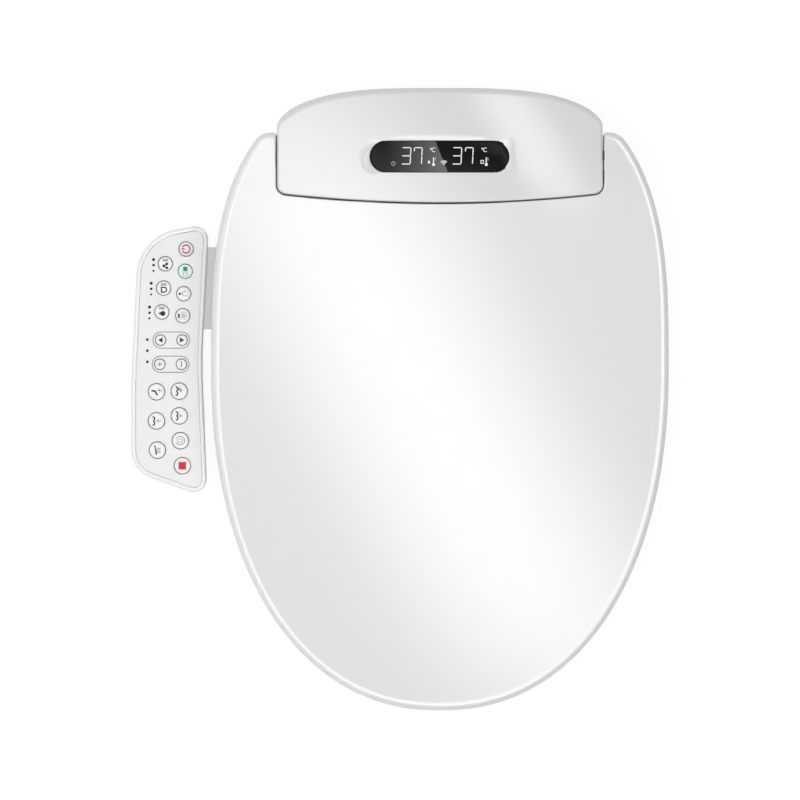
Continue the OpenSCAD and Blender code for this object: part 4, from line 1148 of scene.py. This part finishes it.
key_order = """power eco light flush air seat water up down plus minus
               front_wash rear_wash self_clean dry assist child stop"""
(power, eco, light, flush, air, seat_heat, water, up, down, plus, minus,
 front_wash, rear_wash, clean, dry, assist, child, stop) = (key_named[name] for name in key_order.split())
prints = [
    (power, "pink", [power.disc(0, 0, 5.5)]),
    (power, "maroon", [power.band(0, 0, 3.8, 2.85, -245, 65, 30), power.bar(0, 1.1, 0, 4.1, 0.9)]),
    (eco, "mint", [eco.disc(0, 0, 5.5)]),
    (eco, "green", [eco.shape([(0.1, -1.75), (3.7, -1.75), (3.7, 1.75), (0.1, 1.75)])]),
    (eco, "pale_green", [eco.bar(-4.0, high, -0.2, high, 0.5) for high in (1.75, -1.75)]
     + [eco.bar(-4.0, -1.9, -4.0, 1.9, 0.5)]
     + [eco.bar(-0.4, high, -3.4, high, 0.25) for high in (-1.2, 0, 1.2)]),
    (light, "black", [light.disc(0, 3.2, 1.05)]),
    (light, "grey", [light.band(0, -0.9, 2.1, 1.65, -40, 220, 24), light.bar(-1.0, 0.9, 1.0, 0.9, 0.4),
                     light.bar(0, -3.6, 0, -4.4, 0.4), light.bar(-1.9, -3.1, -2.5, -3.7, 0.4),
                     light.bar(1.9, -3.1, 2.5, -3.7, 0.4)]),
    (flush, "black", [flush.bar(-1.9, 3.3, 1.9, 3.3, 1.25)]),
    (flush, "grey", [flush.band(0, -0.5, 3.1, 2.7, start, start + 38, 6) for start in range(0, 360, 60)]
     + [flush.band(0, -0.5, 1.55, 1.05, count=24), flush.disc(0, -0.5, 0.45)]),
    (air, "grey", steam(air)),
    (air, "black", [air.disc(-0.1, -1.2, 1.2), air.disc(-1.7, 1.2, 1.25), air.disc(-3.3, -1.2, 1.2),
                    air.bar(-0.4, -1.0, -1.5, 1.0, 0.6), air.bar(-1.7, 1.0, -3.0, -0.9, 0.6)]),
    (seat_heat, "grey", steam(seat_heat)),
    (seat_heat, "black", [[d_shape(seat_heat, 0.45), d_shape(seat_heat, -0.6)]]),
    (water, "grey", steam(water)),
    (water, "black", [drop_shape(*water.spot(-1.3, -0.9), 2.1 * mm, 3.9 * mm, 180)]),
    (up, "black", [up.shape([(0, 2.1), (2.2, -1.7), (-2.2, -1.7)])]),
    (down, "black", [down.shape([(0, -2.1), (-2.2, 1.7), (2.2, 1.7)])]),
    (plus, "black", [plus.bar(-2.2, 0, 2.2, 0, 0.6), plus.bar(0, -2.2, 0, 2.2, 0.6)]),
    (minus, "black", [minus.bar(-2.3, 0, 2.3, 0, 0.65)]),
    (front_wash, "black", front_wash.stroke([(1.0, 4.2), (0.6, 1.3), (-2.9, -0.8)], 1.35)),
    (front_wash, "grey", [front_wash.bar(1.0, -0.2, 1.0, -4.6, 0.55),
                          front_wash.bar(-0.8, -2.4, 2.8, -2.4, 0.35)]),
    (rear_wash, "black", washed_curve(rear_wash)),
    (rear_wash, "grey", spray(rear_wash, 4.4)),
    (clean, "black", [clean.bar(4.1, 2.2, -3.6, 0.8, 0.9), clean.bar(0.6, 1.3, -3.6, 1.0, 1.2)]),
    (clean, "grey", [clean.bar(1.8 - 1.3 * i, 0.2, 1.2 - 1.3 * i, -2.6, 0.5) for i in range(4)]),
    (dry, "black", washed_curve(dry, 1.7)),
    (dry, "grey", [dry.bar(2.6, 1.4, 0.2, -2.2, 0.6), dry.bar(1.4, 0.8, -0.8, -2.2, 0.45),
                   dry.bar(3.4, 0.6, 1.2, -2.4, 0.45)]),
    (assist, "black", washed_curve(assist, 1.7)),
    (assist, "grey", spray(assist, 3.4)),
    (child, "grey", [child.band(0, 0, 3.7, 3.15, -230, 50, 30), child.band(0, 0.2, 2.1, 1.6, 200, 340, 12),
                     *child.stroke([(-2.2, 3.4), (-1.0, 2.4), (0.6, 2.6), (2.2, 3.4)], 0.4)]),
    (child, "black", [child.disc(-1.2, 0.9, 0.45), child.disc(1.2, 0.9, 0.45)]),
    (stop, "blush", [square(stop, 3.8)]),
    (stop, "red", [square(stop, 2.95)])]


def printed(name, shapes, level, body, colour):
    """Prints shapes at a level, on the panel's film or on a key's cap."""
    finished(flat_mark(name, shapes, at_level(level), ink_film), body, "panel_face", inks[colour])


for key, colour, shapes in prints:
    level = key.top + (0 if colour in ("pink", "mint", "blush") else ink_film)
    printed(f"{key.node}_{colour}_print", shapes, level, key.node + "_body", colour)
# The dark ring at each cap's edge is painted shade that stands for the gap between cap and film.
gap_shade_ring_inset = 0.1
gap_shade_ring_width = 0.7
for key in keys:
    outer = key.radius / mm - gap_shade_ring_inset
    printed(key.node + "_gap_shade_ring_print", [key.band(0, 0, outer, outer - gap_shade_ring_width, count=56)], key.top,
            key.node + "_body", "line")

pill_half = (15.6 * mm, 7.0 * mm)
pill_line = 0.55 * mm
pill = stadium(*pill_half, 1.2 * mm)
pill_inside = on_rays(pill, (0, 0), pill_half[0] - pill_line, pill_half[1] - pill_line, 0)
pills = []
for first, second in ((up, down), (plus, minus)):
    middle = (first.x + second.x) / 2, first.y
    pills.append([moved(pill, *middle), moved(pill_inside, *middle)])
printed("panel_pill_prints", pills, film_top, "base", "line")

lamp_places = ((-46.0, -80.3, 1.3), (-46.0, -84.9, 1.1), (-46.1, -89.6, 0.9), (-48.0, -100.0, 1.3),
               (-48.0, -104.6, 1.1), (-48.1, -109.3, 0.9), (-49.4, -119.8, 1.3), (-49.4, -124.5, 1.1),
               (-49.5, -129.1, 0.9), (-51.2, -146.8, 1.2), (-51.2, -156.0, 1.2), (-51.2, -165.3, 1.2))
lamps = [disc(lid_side + x * mm, y * mm, radius * mm) for x, y, radius in lamp_places]
printed("panel_lamp_prints", lamps, film_top, "base", "black")


# ---- Lower case ----
# The half of the housing that carries everything else, moulded in satin white plastic
# with small rounded edges. It is closed by the cover above and slides on the plate below.
def softened(node, name, width, segments, *finish):
    """Stands in for a CAD part with a copy whose flat faces are merged and whose edges are rounded."""
    piece = bpy.data.objects.new(name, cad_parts[node].data.copy())
    piece.data.name = name
    bpy.context.scene.collection.objects.link(piece)
    edit(piece, "SELECT")
    bpy.ops.mesh.remove_doubles(threshold=merge_distance)
    bpy.ops.mesh.select_all(action="SELECT")
    bpy.ops.mesh.dissolve_limited(angle_limit=radians(0.5))
    bpy.ops.mesh.select_all(action="SELECT")
    bpy.ops.mesh.normals_make_consistent(inside=False)
    close(piece)
    modified(piece, "BEVEL", width=width * mm, segments=segments, limit_method="ANGLE",
             angle_limit=radians(smooth_angle), use_clamp_overlap=True, miter_outer="MITER_ARC")
    finished(piece, *finish, node)


case_white = plastic("case_white", (0.78, 0.78, 0.775), 0.3, mottle=0.008, grain=0.1, grain_size=0.5)
softened("lower_case", "lower_case_shell", 0.4, 2, "base", "case_white", case_white)


# ---- Side arm ----
# A flat grey arm that reaches out under the seat to carry the panel, with a riser that
# closes the view down between the lid and the panel.
arm_grey = plastic("arm_grey", (0.84, 0.84, 0.845), 0.38, mottle=0.015, grain=0.2, grain_size=0.6)
softened("side_arm", "panel_arm", 0.8, 3, "base", "arm_grey", arm_grey)


# ---- Mounting plate and grey mouldings ----
# Glass-filled grey plastic: the plate bolted to the bowl, the nozzle cradle, the water
# heater's shell, the duct, the wheel, the filter's frame, the catch and the gears.
def dressed(material, *nodes):
    """Gives CAD parts that are shown as they are a finish of their own."""
    for node in nodes:
        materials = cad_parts[node].data.materials
        materials.clear()
        materials.append(material)


def filled_plastic(name, colour, roughness, fibre=0.06):
    """Plastic with short glass fibres in it: a streaky tone, dull patches and a rough skin."""
    material, place = material_at(name)
    flow = place.node("Mapping", inputs={"Vector": place, "Scale": (60, 400, 120)})
    patches = place.noise(25, 3)
    tone = flow.noise(4, 4, 0.65) * 0.7 + patches * 0.3
    place.node("BsdfPrincipled", inputs={
        "Base Color": tone.blend(shaded(colour, 1 - fibre), shaded(colour, 1 + fibre)),
        "Roughness": roughness + (patches - 0.5) * 0.2, "Normal": place.noise(1800, 3).bump(0.25)}).show()
    return material


grey_plastic = filled_plastic("grey_plastic", (0.36, 0.365, 0.37), 0.45)
softened("mounting_plate", "plate", 0.5, 2, "base", "grey_plastic", grey_plastic)
softened("release_button", "release_catch", 0.4, 2, "button", "grey_plastic", grey_plastic)
dressed(grey_plastic, "nozzle_cradle", "water_heater", "dryer_duct", "blower_wheel", "rear_gear",
        "front_gear")

carbon = filled_plastic("filter_frame", (0.2, 0.205, 0.21), 0.55, 0.1)
dressed(carbon, "deodoriser_filter")

dark_plastic = filled_plastic("dark_plastic", (0.035, 0.036, 0.038), 0.42, 0.15)
softened("cable_gland", "lead_gland", 0.4, 2, "base", "dark_plastic", dark_plastic)
dressed(dark_plastic, "inlet_valve", "flow_selector", "blower_case", "deodoriser_case", "seat_damper",
        "lid_damper", "wand_motors")


# ---- Wands and dryer flap ----
# Two white spray wands with holes in their tips, which slide out of the cradle, and the
# flap that the warm air pushes open. Both are moulded in glossy white plastic.
wand_white = plastic("wand_white", (0.8, 0.8, 0.795), 0.14, mottle=0.006, grain=0.03, grain_size=0.8,
                     coat=0.3)
dressed(wand_white, "rear_wand", "front_wand")
softened("dryer_flap", "flap_plate", 0.15, 2, "flap", "case_white", case_white)


# ---- Circuit boards ----
# Glass-fibre boards under green solder lacquer, with darker copper tracks showing through
# and small tinned pads.
lacquer_green = (0.012, 0.09, 0.04)
track_green = (0.03, 0.17, 0.075)
tin = (0.62, 0.61, 0.58)
circuit_green, place = material_at("circuit_green")
tracks = place.node("TexBrick", {"offset": 0.5, "squash": 1.0}, {
    "Vector": place, "Scale": 220, "Mortar Size": 0.035, "Color1": (0, 0, 0, 1), "Color2": (0, 0, 0, 1),
    "Mortar": white}, output="Color")
cells = place.node("TexVoronoi", {"feature": "F1"}, {"Vector": place, "Scale": 260}, output="Distance")
pads = place.math("LESS_THAN", cells, 0.16)
place.node("BsdfPrincipled", inputs={
    "Base Color": pads.blend(tracks.blend(lacquer_green, track_green), tin), "Metallic": pads * 0.9,
    "Roughness": 0.3 + place.noise(500, 3) * 0.15, "Coat Weight": 0.3}).show()
dressed(circuit_green, "display_board", "main_board", "key_board")


# ---- Brass and steel ----
# The water inlet is turned from plated brass; the screws are headed from steel wire
# and bright, with fine marks round them from rolling.
def turned_metal(name, colour, roughness):
    material, place = material_at(name)
    wear = place.noise(180, 5, 0.65)
    lines = place.node("TexWave", {"bands_direction": "Z"}, {
        "Vector": place, "Scale": 900, "Distortion": 1.5}, output="Fac")
    place.node("BsdfPrincipled", inputs={
        "Base Color": wear.blend(shaded(colour, 0.86), colour), "Metallic": 1.0,
        "Roughness": roughness + wear * 0.12, "Normal": lines.bump(0.15)}).show()
    return material


inlet_brass = turned_metal("inlet_brass", (0.72, 0.69, 0.6), 0.2)
softened("water_inlet", "inlet_union", 0.3, 2, "base", "inlet_brass", inlet_brass)
dressed(turned_metal("screw_steel", (0.66, 0.66, 0.68), 0.24), "case_screws", "panel_screws")


# ---- Rubber ----
# The seat's feet and the lid's buffers are soft grey rubber mouldings pushed into place,
# with a dull skin that picks up a little dust.
foot_rubber = plastic("foot_rubber", (0.33, 0.335, 0.34), 0.72, mottle=0.05, grain=0.4, grain_size=0.35)
softened("seat_feet", "seat_foot_pads", 0.7, 3, "seat", "foot_rubber", foot_rubber)
softened("lid_buffers", "lid_buffer_pads", 0.4, 2, "lid", "foot_rubber", foot_rubber)


# ---- Hoses, night light and heating foil ----
# Milky silicone hoses, a frosted light lens under the housing, and a film heater with
# an etched track glued under the seat's top.
hose_clear = plastic("hose_clear", (0.62, 0.63, 0.62), 0.3, mottle=0.03, grain=0.1, grain_size=0.8, coat=0.2)
dressed(hose_clear, "inner_hoses")
light_lens = plastic("light_lens", (0.8, 0.82, 0.84), 0.45, mottle=0.02, grain=0.3, grain_size=0.3)
dressed(light_lens, "night_light")
copper = (0.5, 0.27, 0.1)
aluminium = (0.6, 0.6, 0.6)
heater_foil, place = material_at("heater_foil")
track = place.node("TexWave", {"wave_profile": "SIN"}, {
    "Vector": place, "Scale": 40, "Distortion": 0}, output="Fac")
creases = place.noise(90, 4)
place.node("BsdfPrincipled", inputs={
    "Base Color": place.math("GREATER_THAN", track, 0.5).blend(copper, aluminium), "Metallic": 0.9,
    "Roughness": 0.3 + creases * 0.1, "Normal": creases.bump(0.3, 0.2 * mm)}).show()
dressed(heater_foil, "seat_heater")
